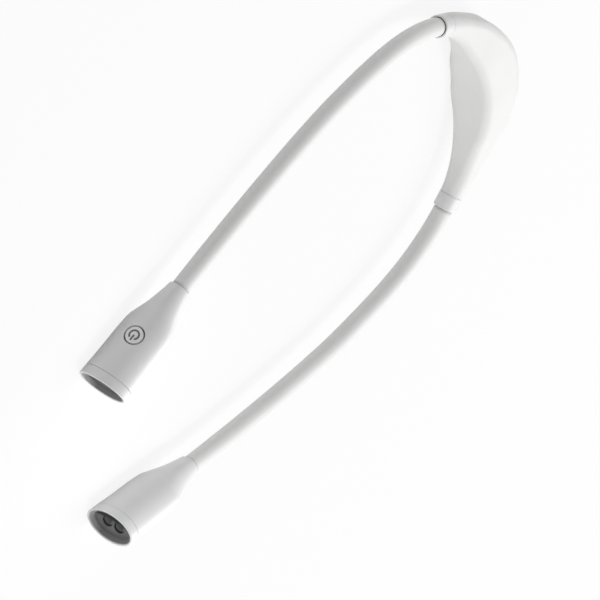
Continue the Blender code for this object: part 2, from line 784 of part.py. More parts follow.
def make_arm(side, spine, bodies):
    """Three lengths of arm between four joints, each with its core wire and its lead."""
    joints = arm_joints(spine)
    names = ("lower", "middle", "upper")
    for k, part in enumerate(names):
        start, end = joints[k], joints[k + 1]
        last = k == len(names) - 1
        body = bodies[f"arm_{part}_{side}"]
        inset = WIRE_BALL_INSET if last else -WIRE_CUP_INSET
        span = (start - WIRE_BALL_INSET, end + inset)
        pieces = (
            make_sleeve(f"sleeve_{part}_{side}", spine, start, end, last),
            make_arm_wire(f"core_wire_{part}_{side}", spine, *span, -CORE_DROP, CORE_RADIUS, "steel"),
            make_arm_wire(f"lead_{part}_{side}", spine, *span, LEAD_RISE, LEAD_RADIUS, "lead_sheath"),
        )
        for piece in pieces:
            joined_to(body, piece)


def arm_joints(spine):
    """Distances of an arm's four joints from the collar's mouth."""
    first = JOINT_OUTSIDE_COLLAR
    last = spine.neck - JOINT_OUTSIDE_COLLAR
    shares = (0, LOWER_JOINT_SHARE, UPPER_JOINT_SHARE, 1)
    return [first + (last - first) * share for share in shares]


def head_matrix(spine):
    """The head's frame: origin at the middle of the mouth, X out of the button's face, Z to the neck."""
    point, forward = spine.frame(spine.neck)
    outward = across_of(forward) * (1 if across_of(forward).x * spine.side > 0 else -1)
    z_axis = -forward
    mouth = point + HEAD_LENGTH * forward
    return axes_matrix(mouth, outward, z_axis.cross(outward), z_axis)


def head_sizes(station):
    """Half height across the thin way and half width of the head at a distance from its mouth."""
    return (
        sizes_at(station / HEAD_LENGTH, HEAD_SHARES, HEAD_HALF_HEIGHTS),
        sizes_at(station / HEAD_LENGTH, HEAD_SHARES, HEAD_HALF_WIDTHS),
    )


def head_ring(matrix, station, half_height, half_width):
    outline = oval(half_height, half_width, OVAL_SIDES)
    return [matrix @ Vector((x, y, station)) for x, y in outline]


def make_bezel(side, matrix):
    """The rim of the mouth: a plain ring outside, a ledge for the lens plate inside, a spigot behind."""
    edge = HEAD_SEAT_WALL / 3
    front_height, front_width = head_sizes(0)
    back_height, back_width = head_sizes(BEZEL_DEPTH)
    spigot_height, spigot_width = (
        size - HEAD_SEAT_WALL - GAP for size in head_sizes(BEZEL_DEPTH + GAP + SPIGOT_LENGTH)
    )
    spigot_end = BEZEL_DEPTH + SPIGOT_LENGTH
    sections = (
        (0, MOUTH_HALF_HEIGHT + edge, MOUTH_HALF_WIDTH + edge),
        (0, front_height - edge, front_width - edge),
        (edge, front_height, front_width),
        (BEZEL_DEPTH, back_height, back_width),
        (BEZEL_DEPTH, spigot_height, spigot_width),
        (spigot_end, spigot_height, spigot_width),
        (spigot_end, LEDGE_HALF_HEIGHT, LEDGE_HALF_WIDTH),
        (BEZEL_DEPTH - LEDGE_DEPTH, LEDGE_HALF_HEIGHT, LEDGE_HALF_WIDTH),
        (BEZEL_DEPTH - LEDGE_DEPTH, MOUTH_HALF_HEIGHT, MOUTH_HALF_WIDTH),
        (edge, MOUTH_HALF_HEIGHT, MOUTH_HALF_WIDTH),
    )
    rings = [head_ring(matrix, *section) for section in sections]
    return mesh_object(f"bezel_ring_{side}", *lofted(rings, True), "white_plastic")


def led_board_front():
    return BEZEL_DEPTH + SPIGOT_LENGTH + GAP


def shelf_station():
    """Where the housing's wall thickens behind the LED board."""
    return led_board_front() + LED_BOARD_THICKNESS + GAP


def ferrule_stop():
    """Where the housing's wall thickens in front of the ferrule's flange."""
    return HEAD_LENGTH - FLANGE_START - FLANGE_LENGTH - GAP


def make_housing(side, matrix):
    """The flask-shaped shell: a seat for the bezel in front, one for the ferrule behind, a button hole."""
    front = BEZEL_DEPTH + GAP
    body_end = HEAD_BODY_SHARE * HEAD_LENGTH
    stations = [front, (front + body_end) / 2]
    stations += [body_end + (HEAD_LENGTH - body_end) * k / (HEAD_RINGS - 1) for k in range(HEAD_RINGS)]
    rings = [head_ring(matrix, station, *head_sizes(station)) for station in stations]
    stop = ferrule_stop()
    rings.append(head_ring(matrix, HEAD_LENGTH, SOCKET_RADIUS, SOCKET_RADIUS))
    rings.append(head_ring(matrix, stop, SOCKET_RADIUS, SOCKET_RADIUS))
    shelf = shelf_station()
    inner = [stop - (stop - shelf) * k / (HEAD_INNER_RINGS - 1) for k in range(HEAD_INNER_RINGS)]
    for station in inner:
        height, width = head_sizes(station)
        rings.append(head_ring(matrix, station, height - HEAD_WALL, width - HEAD_WALL))
    for station in (shelf, front):
        height, width = head_sizes(station)
        rings.append(head_ring(matrix, station, height - HEAD_SEAT_WALL, width - HEAD_SEAT_WALL))
    housing = mesh_object(f"head_housing_{side}", *lofted(rings, True), "white_plastic")
    hole = slab(
        f"button_hole_{side}",
        oval(BUTTON_HOLE_RADIUS, BUTTON_HOLE_RADIUS, TURNED_SIDES),
        BUTTON_FLANGE_TOP - BUTTON_FLANGE_THICKNESS,
        head_sizes(0)[0] + CUT_OVERRUN,
        button_matrix(matrix),
        "white_plastic",
    )
    return boolean(housing, as_cutter(hole), "DIFFERENCE")


def button_station():
    return HEAD_LENGTH - BUTTON_FROM_NECK


def button_matrix(matrix):
    """The button's frame: origin on the head's axis, Z out through the button."""
    origin = matrix @ Vector((0, 0, button_station()))
    rotation = matrix.to_3x3()
    return axes_matrix(origin, rotation.col[1], rotation.col[2], rotation.col[0])


def make_lens_plate(side, matrix, plate_end):
    """A shallow dish in the mouth, with a flared wall up to the rim and a flat floor for the lenses."""
    height, width = MOUTH_HALF_HEIGHT - GAP, MOUTH_HALF_WIDTH - GAP
    rim_height, rim_width = height - DISH_RIM_WALL, width - DISH_RIM_WALL
    sections = (
        (PLATE_RECESS, rim_height - DISH_FLARE, rim_width - DISH_FLARE),
        (DISH_RIM_RECESS, rim_height, rim_width),
        (DISH_RIM_RECESS, height, width),
        (plate_end, height, width),
    )
    rings = [head_ring(matrix, *section) for section in sections]
    return mesh_object(f"lens_plate_{side}", *lofted(rings, False), "lens_plate_plastic")


def make_head_inside(side, matrix):
    """The lens plate, lenses, LED board, switch board and switch, and the lead from the ferrule."""
    plate_end = BEZEL_DEPTH - LEDGE_DEPTH - GAP
    plate = make_lens_plate(side, matrix, plate_end)
    pieces = [plate]
    up_sign = 1 if (matrix.to_3x3() @ Vector((0, 1, 0))).z > 0 else -1
    board_front = led_board_front()
    for place, sign in (("upper", up_sign), ("lower", -up_sign)):
        beside = matrix @ Matrix.Translation((0, sign * LENS_SPACING / 2, 0))
        well_radius = LENS_RADIUS + GAP
        well = slab(
            f"lens_well_{place}_{side}",
            oval(well_radius, well_radius, SLEEVE_SIDES),
            PLATE_RECESS - CUT_OVERRUN,
            plate_end + CUT_OVERRUN,
            beside,
            "lens_plate_plastic",
        )
        boolean(plate, as_cutter(well), "DIFFERENCE")
        top = PLATE_RECESS + LENS_SINK
        profile = [(0, -top)]
        for k in range(1, BALL_STEPS + 1):
            angle = math.pi / 2 * k / BALL_STEPS
            profile.append((LENS_RADIUS * math.sin(angle), -top - LENS_DOME * (1 - math.cos(angle))))
        profile += [(LENS_RADIUS, -(board_front - GAP)), (0, -(board_front - GAP))]
        lens = turned(f"led_lens_{place}_{side}", profile, "lens_plastic", SLEEVE_SIDES)
        lens.matrix_world = beside @ Matrix.Rotation(math.pi, 4, "X")
        pieces.append(lens)
    seat_height, seat_width = (size - HEAD_SEAT_WALL - GAP for size in head_sizes(board_front))
    pieces.append(
        slab(
            f"led_board_{side}",
            oval(seat_height, seat_width, OVAL_SIDES),
            board_front,
            board_front + LED_BOARD_THICKNESS,
            matrix,
            "circuit_board",
        )
    )
    lower = SWITCH_BOARD_LEVEL - SWITCH_BOARD_THICKNESS
    board_start = board_front + LED_BOARD_THICKNESS + GAP
    ferrule_front = ferrule_stop() + GAP - FERRULE_TAIL_LENGTH
    board_end = ferrule_front - HEAD_LEAD_RUN
    board = rounded_box(
        f"switch_board_{side}",
        (lower, -SWITCH_BOARD_HALF_WIDTH, board_start),
        (SWITCH_BOARD_LEVEL, SWITCH_BOARD_HALF_WIDTH, board_end),
        0,
        "circuit_board",
    )
    case_bottom = SWITCH_BOARD_LEVEL + GAP
    case_top = case_bottom + SWITCH_HEIGHT
    half = SWITCH_SIZE / 2
    case = rounded_box(
        f"switch_case_{side}",
        (case_bottom, -half, button_station() - half),
        (case_top, half, button_station() + half),
        0,
        "switch_black",
    )
    for piece in (board, case):
        piece.data.transform(matrix)
        pieces.append(piece)
    hole_radius = PLUNGER_RADIUS + GAP
    hole = slab(
        f"plunger_hole_{side}",
        oval(hole_radius, hole_radius, SLEEVE_SIDES),
        case_top - PLUNGER_HOLE_DEPTH,
        case_top + CUT_OVERRUN,
        button_matrix(matrix),
        "switch_black",
    )
    boolean(case, as_cutter(hole), "DIFFERENCE")
    bore_end = HEAD_LENGTH - BALL_CUP_REACH - GAP
    middle = (lower + SWITCH_BOARD_LEVEL) / 2
    route = smooth_route(
        [
            matrix @ Vector(place)
            for place in (
                (middle, 0, board_end + GAP),
                (middle, 0, board_end + HEAD_LEAD_RUN / 3),
                (0, 0, ferrule_front - HEAD_LEAD_RUN / 4),
                (0, 0, bore_end),
            )
        ],
        10,
    )
    pieces.append(wire(f"head_lead_{side}", route, LEAD_RADIUS, "lead_sheath"))
    return pieces


def make_button(side, matrix):
    """The cap follows the head's curve outside, and has a retaining flange and a post inside."""
    frame = button_matrix(matrix)
    sunk_rings = []
    for k in range(5):
        station = button_station() + BUTTON_FLANGE_RADIUS * (k / 2 - 1)
        height, width = head_sizes(station)
        sunk_rings.append(head_ring(matrix, station, height - BUTTON_SINK, width - BUTTON_SINK))
    body = cutter(f"button_limit_{side}", *lofted(sunk_rings, False))
    flange_bottom = BUTTON_FLANGE_TOP - BUTTON_FLANGE_THICKNESS
    plunger_top = SWITCH_BOARD_LEVEL + GAP + SWITCH_HEIGHT + PLUNGER_OUT
    cap = turned(
        f"button_cap_{side}",
        [
            (0, head_sizes(0)[0]),
            (BUTTON_RADIUS, head_sizes(0)[0]),
            (BUTTON_RADIUS, BUTTON_FLANGE_TOP),
            (BUTTON_FLANGE_RADIUS, BUTTON_FLANGE_TOP),
            (BUTTON_FLANGE_RADIUS, flange_bottom),
            (BUTTON_POST_RADIUS, flange_bottom),
            (BUTTON_POST_RADIUS, plunger_top + GAP),
            (0, plunger_top + GAP),
        ],
        "white_plastic",
    )
    cap.matrix_world = frame
    boolean(cap, body, "INTERSECT")
    plunger = turned(
        f"switch_plunger_{side}",
        [
            (0, plunger_top),
            (PLUNGER_RADIUS, plunger_top),
            (PLUNGER_RADIUS, plunger_top - PLUNGER_HEIGHT),
            (0, plunger_top - PLUNGER_HEIGHT),
        ],
        "switch_black",
        SLEEVE_SIDES,
    )
    plunger.matrix_world = frame
    return [cap, plunger]


def make_bodies(side, spine):
    """An empty on every joint, each the parent of the next one out along the arm."""
    joints = arm_joints(spine)
    names = [f"arm_lower_{side}", f"arm_middle_{side}", f"arm_upper_{side}", f"head_{side}"]
    bodies = {}
    for name, distance in zip(names, joints):
        bodies[name] = new_body(name, spine_matrix(spine, distance, True))
    bodies[f"button_{side}"] = new_body(f"button_{side}", button_matrix(head_matrix(spine)))
    chain = [*names, f"button_{side}"]
    for parent, child in zip(chain, chain[1:]):
        bodies[child].parent = bodies[parent]
        bodies[child].matrix_parent_inverse = bodies[parent].matrix_world.inverted()
    return bodies


def make_side(side, spine, board_edge):
    mouth = spine_matrix(spine, 0, True)
    make_end_collar(side, mouth)
    make_plug(f"arm_anchor_{side}", ANCHOR_TAIL_RADIUS, ANCHOR_TAIL_LENGTH, mouth)
    make_pod_lead(side, spine, board_edge)
    bodies = make_bodies(side, spine)
    make_arm(side, spine, bodies)
    matrix = head_matrix(spine)
    ferrule = make_plug(
        f"neck_ferrule_{side}",
        FERRULE_TAIL_RADIUS,
        FERRULE_TAIL_LENGTH,
        spine_matrix(spine, spine.neck, False),
    )
    pieces = [make_bezel(side, matrix), make_housing(side, matrix), ferrule]
    for piece in pieces + make_head_inside(side, matrix):
        joined_to(bodies[f"head_{side}"], piece)
    for piece in make_button(side, matrix):
        joined_to(bodies[f"button_{side}"], piece)


def main():
    spines = {side: Spine(sign) for side, sign in SIDES.items()}
    skin = make_pod_skin(spines)
    tray = make_chassis(spines, "chassis_tray", "lower")
    make_chassis(spines, "chassis_cover", "upper")
    make_port_and_holes(skin, tray)
    board_edge = make_cell_and_board()
    for side, spine in spines.items():
        make_side(side, spine, board_edge)


clear_scene()
PARTS = new_collection("neck_reading_light")
CUTTERS = new_collection("cutters")
MATERIALS = make_materials()
main()
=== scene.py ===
"""The looks of a neck reading light: a soft white pod for the nape, two bendable arms and two lamp heads.

Lengths are in metres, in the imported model's frame: +Z is up, the heads point to -Y, and the wearer's
right arm is at -X. The pod and the arms follow one level curve, the spine, whose distances run from
the collar's mouth: positive out along the arm, negative back into the pod. Each head has its own
frame: x out through the button, y across the wide way, and t from the mouth to the neck.
"""

import json
import math

import bmesh
import bpy
import numpy as np
from mathutils import Matrix, Vector


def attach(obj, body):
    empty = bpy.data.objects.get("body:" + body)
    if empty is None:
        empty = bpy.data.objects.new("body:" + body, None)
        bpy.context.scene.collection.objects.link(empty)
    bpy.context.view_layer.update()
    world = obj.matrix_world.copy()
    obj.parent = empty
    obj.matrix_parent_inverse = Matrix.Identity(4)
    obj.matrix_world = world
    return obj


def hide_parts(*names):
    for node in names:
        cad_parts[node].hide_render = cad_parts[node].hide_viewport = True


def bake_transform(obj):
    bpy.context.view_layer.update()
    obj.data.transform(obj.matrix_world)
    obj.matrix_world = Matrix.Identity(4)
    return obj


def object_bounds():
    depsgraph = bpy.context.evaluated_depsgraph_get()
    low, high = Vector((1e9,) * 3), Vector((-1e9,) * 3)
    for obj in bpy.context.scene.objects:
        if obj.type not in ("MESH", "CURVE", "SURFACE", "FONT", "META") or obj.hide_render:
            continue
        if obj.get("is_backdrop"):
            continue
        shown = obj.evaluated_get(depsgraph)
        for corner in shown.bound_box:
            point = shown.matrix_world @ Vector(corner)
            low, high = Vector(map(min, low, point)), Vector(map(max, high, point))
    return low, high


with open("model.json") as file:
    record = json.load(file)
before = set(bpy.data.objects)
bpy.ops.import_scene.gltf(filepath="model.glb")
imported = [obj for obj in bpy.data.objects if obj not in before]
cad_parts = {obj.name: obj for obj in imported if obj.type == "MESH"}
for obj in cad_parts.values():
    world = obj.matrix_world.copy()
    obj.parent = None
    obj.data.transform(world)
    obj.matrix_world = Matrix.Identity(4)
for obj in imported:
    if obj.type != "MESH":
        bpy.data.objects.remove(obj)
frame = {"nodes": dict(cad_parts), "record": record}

cad_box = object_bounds()

# Layout of the spine
SPINE_HEIGHT = 0.0144
COLLAR_HALF_SPACING = 0.0750
COLLAR_SETBACK = 0.0357
COLLAR_HEADING = math.radians(37.8)
ARM_HALF_SPREAD = 0.0951
ARM_WIDEST_FORWARD = 0.0818
NECK_HALF_SPACING = 0.0738
NECK_FORWARD = 0.2099
HEAD_TOE_IN = math.radians(13.7)
ARM_COLLAR_PULL = 0.0309
ARM_REAR_PULL = 0.0332
ARM_FRONT_PULL = 0.0258
ARM_NECK_PULL = 0.0504
POD_END_PULL = 0.0137
POD_BACK_PULL = 0.0330

# Pod: sizes of its section at shares of the way from each end to the middle. It rises above the spine
# and drops below it, and its outer side is the one away from the wearer's neck
POD_SHARES = (0.0, 0.2, 0.4, 0.6, 0.8, 0.88, 1.0)
POD_HALF_THICKNESSES = (0.0061, 0.0073, 0.0102, 0.0121, 0.0134, 0.0136, 0.0136)
POD_RISES = (0.0061, 0.0072, 0.0096, 0.0126, 0.0142, 0.0144, 0.0144)
POD_DROPS = (0.0061, 0.0071, 0.0086, 0.0111, 0.0139, 0.0144, 0.0144)
POD_UPPER_CORNERS = (0.0061, 0.0050, 0.0047, 0.0047, 0.0047, 0.0046, 0.0046)
POD_OUTER_CORNERS = (0.0061, 0.0071, 0.0078, 0.0066, 0.0050, 0.0046, 0.0046)
POD_INNER_CORNERS = (0.0061, 0.0063, 0.0068, 0.0071, 0.0072, 0.0072, 0.0072)
CORNER_LEAST = 0.0003
SKIN_WALL = 0.0015
POD_ROWS = 201
POD_QUARTER = 32

# Holes in the pod's underside, for the charging port and its light. A window is the part of the pod's
# grid that is cleared for a hole: its least and greatest x, then y
PORT_HALF_SIZE = (0.00477, 0.00188)
PORT_CORNER = 0.0016
PORT_QUARTER = 60
PORT_CENTRE = (0.0, 0.00348)
PORT_WINDOW = (-0.0062, 0.0062, -0.0012, 0.0084)
PIPE_HOLE_RADIUS = 0.0013
PIPE_CENTRE = (0.0085, 0.00348)
PIPE_WINDOW = (0.0066, 0.0106, 0.0011, 0.0060)
UNDERSIDE_HOLE_EDGE = 0.0003
UNDERSIDE_COLUMNS = 20
UNDERSIDE_RINGS = 6

# Arms and collars. A bend is how far an arm curves before and after a joint, and the sleeve's painted shade
# is how far the sleeve is painted darker next to a collar or a head, as shade where it meets them
ARM_RADIUS = 0.0050
ARM_STEP = 0.0008
ARM_SIDES = 72
BALL_ROWS = 13
SEAM_PAINTED_SHADE = 0.0021
JOINT_OUTSIDE_COLLAR = 0.0016
LOWER_JOINT_SHARE = 0.36
UPPER_JOINT_SHARE = 0.69
ROOT_BEND = (0.0020, 0.0150)
MIDDLE_BEND = 0.0240
NECK_BEND = (0.0150, 0.0020)
COLLAR_LENGTH = 0.0081
COLLAR_RADIUS = 0.0060
COLLAR_EDGE = 0.0002
COLLAR_MOUTH_EDGE = 0.0005
COLLAR_MOUTH_POINTS = 8
COLLAR_STEPS = 8
COLLAR_SIDES = 96
SEAM = 0.0001
LIP_RADIUS = 0.00516
LIP_DEPTH = 0.0021
LIP_INNER_EDGE = 0.0001
LIP_POINTS = 4
SOCKET_RADIUS = 0.0053

# Heads: half sizes at shares of the way from the mouth to the neck. A station is a distance from the mouth
HEAD_LENGTH = 0.0655
HEAD_SHARES = (0.0, 0.2595, 0.458, 0.595, 0.658, 0.7115, 0.77, 0.8321, 0.8931, 0.9542, 1.0)
HEAD_HALF_WIDTHS = (0.0144, 0.0139, 0.01372, 0.0132, 0.012, 0.0107, 0.0093, 0.0082, 0.0073, 0.0065, 0.0062)
HEAD_HALF_HEIGHTS = (0.0093, 0.0091, 0.00903, 0.0088, 0.0084, 0.0081, 0.0077, 0.0073, 0.0069, 0.0064, 0.0062)
HEAD_COLUMNS = 144
HEAD_STEP = 0.0007
BEZEL_DEPTH = 0.0056
BEZEL_ROWS = 8
HOUSING_FRONT = 0.00577
SEAM_EDGE = 0.0002
LIP_EDGE = 0.00055
NECK_EDGE = 0.0007
SEAT_WALL = 0.0015
HEAD_WALL = 0.0023
SEAT_END = 0.0101
SEAT_ROWS = 5
BORE_STOP = 0.0577
BORE_ROWS = 6
HOLLOW_ROWS = 68
SPIGOT_STATION = 0.0086
SPIGOT_END = 0.0083
SPIGOT_INSET = 0.0018
LEDGE_FRONT = 0.0046
LEDGE_SIZE = (0.0061, 0.0112)
MOUTH_SIZE = (0.0081, 0.0132)

# The dish in each mouth, with a round well for each of its two lenses. Sizes are half height and half width
DISH_RIM = 0.0004
DISH_FLOOR = 0.0033
DISH_BACK = 0.0043
DISH_OUTER = (0.0080, 0.0131)
DISH_INNER = (0.0076, 0.0127)
DISH_CHAMFER = 0.00012
DISH_TAPER = 0.0012
DISH_FILLET = 0.0007
DISH_ROWS = 7
OVAL_CURVED = 72
OVAL_STRAIGHT = 24

# How pale the dish is, from 0 to 1, where it can be, and how that fades: with height over the floor, with
# the share of the way to the lower end, across the near side, and with distance from a lens's middle. The
# wall is paler than the floor by its own tone; the paler lower end is painted light, the darker near side is
# a painted shadow below the near rim, and the darker ring round each lens is painted shade
DISH_PALE_FLOOR = 0.34
DISH_PALE_WALL = 0.46
DISH_PALE_LEAST = 0.35
DISH_FADE_HEIGHT = 0.0012
DISH_FADE_LOW = (-0.1, 1.0)
DISH_FADE_NEAR = (0.15, 0.40)
DISH_FADE_LENS = (0.0031, 0.0036)
DISH_NEAR_SHADE = 0.85
DISH_CHORD_LEAST = 0.05

# Lenses
LENS_OFFSET = 0.003725
LENS_WELL = 0.00288
LENS_WELL_EDGE = 0.0002
LENS_WELL_RINGS = 8
LENS_SIDES = 64
LENS_ROWS = 17
LENS_RADIUS = 0.0028
LENS_DOME = 0.0005
LENS_TOP = 0.0034
LENS_BACK = 0.0083

# Button: the part of the housing's grid that is cleared for its hole, as a half angle and a half length,
# then the cap. The flange's and the post's places are distances from the head's middle line
BUTTON_STATION = 0.0299
BUTTON_WINDOW_ANGLE = math.radians(36)
BUTTON_WINDOW_REACH = 0.0080
BUTTON_HOLE = 0.0055
BUTTON_HOLE_EDGE = 0.00025
BUTTON_HOLE_RINGS = 8
BUTTON_RADIUS = 0.0047
BUTTON_EDGE = 0.00025
BUTTON_FLANGE_RADIUS = 0.0059
BUTTON_FLANGE_TOP = 0.0054
BUTTON_FLANGE_BOTTOM = 0.0046
BUTTON_POST_RADIUS = 0.0011
BUTTON_POST_END = 0.0033
BUTTON_COLUMNS = 288
BUTTON_FACE_ROWS = 73
# How much of the mark's grey is painted on the cap's wall, flange and post, as painted shade in the groove
# round the cap
BUTTON_SIDE_PAINTED_SHADE = 0.7

# The mark on it: its ring's radius, half its stroke, its soft edge, half the ring's gap, the bar's two
# ends towards the mouth, and its depth
MARK_RADIUS = 0.00252
MARK_STROKE = 0.00052
MARK_SOFT = 0.00012
MARK_GAP = math.radians(42)
MARK_BAR = (0.0004, 0.0030)
MARK_DEPTH = 0.00016

# The sides' signs in x, the way up, how finely curves are cut, and how close points have to be to merge
SIDES = {"right": -1, "left": 1}
UP = np.array((0.0, 0.0, 1.0))
SPINE_POINTS = 200
CIRCLE_POINTS = 360
EDGE_POINTS = 5
FINE_EDGE_POINTS = 7
MERGE = 0.000002

# Camera: where it looks, along what, and how many metres the picture spans there
AIM = (0.05492, -0.13859, 0.00265)
SIGHT = (0.79128, 0.46612, -0.39559)
PICTURE_RIGHT = (0.02628, 0.62055, 0.78372)
PICTURE_SPAN = 0.30592
CAMERA_DISTANCE = 12.0
CAMERA_REACH = 100.0

# Lamps: direction from the object, distance, side of the square, watts
LAMPS = {
    "rear_top": ((0.50, 0.45, 0.74), 2.2, 1.3, 17.0),
    "high": ((0.20, -0.02, 0.97), 2.4, 0.7, 18.5),
    "front": ((0.6, -1.0, 0.35), 2.4, 1.2, 14.8),
    "nape": ((-0.25, 1.0, 0.35), 2.4, 1.4, 2.5),
}
LAMP_AIM = (0.0, -0.14, 0.01)
AMBIENT = 0.355

# Spot above the heads: direction, distance, where it points, its half angle, edge, size and watts
SPOT_HEADING = (0.17, 0.0, 0.985)
SPOT_DISTANCE = 1.3
SPOT_AIM = (0.0, -0.30, 0.015)
SPOT_SPREAD = math.radians(4.4)
SPOT_BLEND = 0.6
SPOT_SIZE = 0.05
SPOT_POWER = 16.0

# Floor: its tint to the light and to the eye, and the share of its own shading that the eye sees
FLOOR_TINT = 0.74
FLOOR_PALE = 0.85
FLOOR_SHADOW = 0.13
FLOOR_REACH = 30.0
FLOOR_DROP = 0.00005


def unit(vector):
    """A vector over its own length."""
    vector = np.asarray(vector, float)
    return vector / np.linalg.norm(vector)


def make_camera():
    """A camera far off, aimed along the sight line and rolled to the picture's right. Its lens is as long
    as the distance times the sensor's width over the width that the picture spans."""
    sight = unit(SIGHT)
    right = unit(np.asarray(PICTURE_RIGHT) - np.dot(PICTURE_RIGHT, sight) * sight)
    up = np.cross(right, sight)
    data = bpy.data.cameras.new("camera")
    data.lens = data.sensor_width * CAMERA_DISTANCE / PICTURE_SPAN
    data.clip_end = CAMERA_REACH
    camera = bpy.data.objects.new("camera", data)
    bpy.context.scene.collection.objects.link(camera)
    turn = Matrix((Vector(right), Vector(up), Vector(-sight))).transposed().to_4x4()
    turn.translation = Vector(np.asarray(AIM) - CAMERA_DISTANCE * sight)
    camera.matrix_world = turn
    bpy.context.scene.camera = camera


# Shapes of the spine, the pod and the heads


def between(value, low, high):
    """The share of the way from low to high, held between 0 and 1."""
    return np.clip((value - low) / (high - low), 0, 1)


def softened(share):
    """A share whose start and end are smooth: three times its square less twice its cube."""
    return share * share * (3 - 2 * share)


def bezier(points, shares):
    """A cubic Bezier curve: the four points weighted by the cubic Bernstein terms, and its derivative."""
    a, b, c, d = (np.asarray(p, float) for p in points)
    t = shares[:, None]
    place = (1 - t) ** 3 * a + 3 * (1 - t) ** 2 * t * b + 3 * (1 - t) * t**2 * c + t**3 * d
    slope = 3 * (1 - t) ** 2 * (b - a) + 6 * (1 - t) * t * (c - b) + 3 * t**2 * (d - c)
    return place, slope


def eased(share, shares, sizes):
    """A size between given ones: a cubic over each step, whose slope at a knot is the harmonic mean
    of the steps beside it, and nothing at the two ends."""
    shares, sizes = np.asarray(shares), np.asarray(sizes)
    steps = np.diff(sizes) / np.diff(shares)
    both = steps[:-1] * steps[1:]
    total = np.where(both > 0, steps[:-1] + steps[1:], 1.0)
    slopes = np.concatenate([[0.0], np.where(both > 0, 2 * both / total, 0.0), [0.0]])
    k = np.clip(np.searchsorted(shares, share, side="right") - 1, 0, len(shares) - 2)
    width = shares[k + 1] - shares[k]
    t = (share - shares[k]) / width
    return (
        (1 + 2 * t) * (1 - t) ** 2 * sizes[k]
        + t * (1 - t) ** 2 * width * slopes[k]
        + t**2 * (3 - 2 * t) * sizes[k + 1]
        - t**2 * (1 - t) * width * slopes[k + 1]
    )


class Spine:
    """One side's level curve from the pod's middle to the head's neck: four Bezier runs in a row."""

    def __init__(self, sign):
        self.sign = sign
        back = np.array((0.0, 1.0))
        out = np.array((math.sin(COLLAR_HEADING), -math.cos(COLLAR_HEADING)))
        inward = np.array((-math.sin(HEAD_TOE_IN), -math.cos(HEAD_TOE_IN)))
        collar = np.array((COLLAR_HALF_SPACING, -COLLAR_SETBACK))
        widest = np.array((ARM_HALF_SPREAD, -COLLAR_SETBACK - ARM_WIDEST_FORWARD))
        neck = np.array((NECK_HALF_SPACING, -COLLAR_SETBACK - NECK_FORWARD))
        end = collar - COLLAR_LENGTH * out
        runs = (
            ((0, 0), (POD_BACK_PULL, 0), end - POD_END_PULL * out, end),
            (end, end + (collar - end) / 3, end + (collar - end) * 2 / 3, collar),
            (collar, collar + ARM_COLLAR_PULL * out, widest + ARM_REAR_PULL * back, widest),
            (widest, widest - ARM_FRONT_PULL * back, neck - ARM_NECK_PULL * inward, neck),
        )
        shares = np.linspace(0, 1, SPINE_POINTS)
        traced = [bezier(run, shares) for run in runs]
        self.places, self.slopes = (
            np.vstack([curve[k][:-1] for curve in traced] + [traced[-1][k][-1:]]) for k in (0, 1)
        )
        lengths = np.concatenate([[0.0], np.cumsum(np.hypot(*np.diff(self.places, axis=0).T))])
        self.lengths = lengths - lengths[2 * (SPINE_POINTS - 1)]
        self.middle = self.lengths[0]
        self.neck = self.lengths[-1]

    def at(self, distances):
        """Points, directions and level side directions, by interpolation between the traced points. The
        spine runs straight on past its ends."""
        distances = np.atleast_1d(np.asarray(distances, float))
        inside = np.clip(distances, self.middle, self.neck)
        x, y, dx, dy = (
            np.interp(inside, self.lengths, column) for column in (*self.places.T, *self.slopes.T)
        )
        forward = np.stack([self.sign * dx, dy, 0 * dx], 1)
        forward /= np.linalg.norm(forward, axis=1)[:, None]
        point = np.stack([self.sign * x, y, np.full_like(x, SPINE_HEIGHT)], 1)
        point += (distances - inside)[:, None] * forward
        return point, forward, np.cross(forward, UP)

    def joints(self):
        """Distances of the four joints: two just outside the collar and the neck, two at shares between."""
        first, last = JOINT_OUTSIDE_COLLAR, self.neck - JOINT_OUTSIDE_COLLAR
        return first + (last - first) * np.array((0, LOWER_JOINT_SHARE, UPPER_JOINT_SHARE, 1))


SPINES = {side: Spine(sign) for side, sign in SIDES.items()}


def quarter_rows(half_x, half_z, corner, quarter):
    """Rows of points over a quarter of a rectangle with round corners, evenly spaced from the middle of
    its side to the middle of its top: straight, then the corner's arc, then straight again."""
    half_x, half_z, corner = (np.asarray(v, float)[:, None] for v in (half_x, half_z, corner))
    corner = np.clip(corner, CORNER_LEAST, np.minimum(half_x, half_z))
    rise, run = half_z - corner, half_x - corner
    arc = corner * math.pi / 2
    along = np.linspace(0, 1, quarter + 1)[None, :] * (rise + arc + run)
    angle = np.clip((along - rise) / corner, 0, math.pi / 2)
    x = half_x - corner + corner * np.cos(angle) - np.clip(along - rise - arc, 0, None)
    return x, np.minimum(along, rise) + corner * np.sin(angle)


def rounded_rows(half_x, sides, quarter):
    """Rows of points round such sections. Their four quarters, outer upper, inner upper, inner lower and
    outer lower, each have their own height and corner."""
    columns = []
    for (half_z, corner), (turn_x, turn_z) in zip(sides, ((1, 1), (-1, 1), (-1, -1), (1, -1))):
        x, z = quarter_rows(half_x, half_z, corner, quarter)
        order = slice(0, -1) if turn_x == turn_z else slice(None, 0, -1)
        columns.append((turn_x * x[:, order], turn_z * z[:, order]))
    return (np.hstack(values) for values in zip(*columns))


POD_REACH = -SPINES["left"].middle - COLLAR_LENGTH


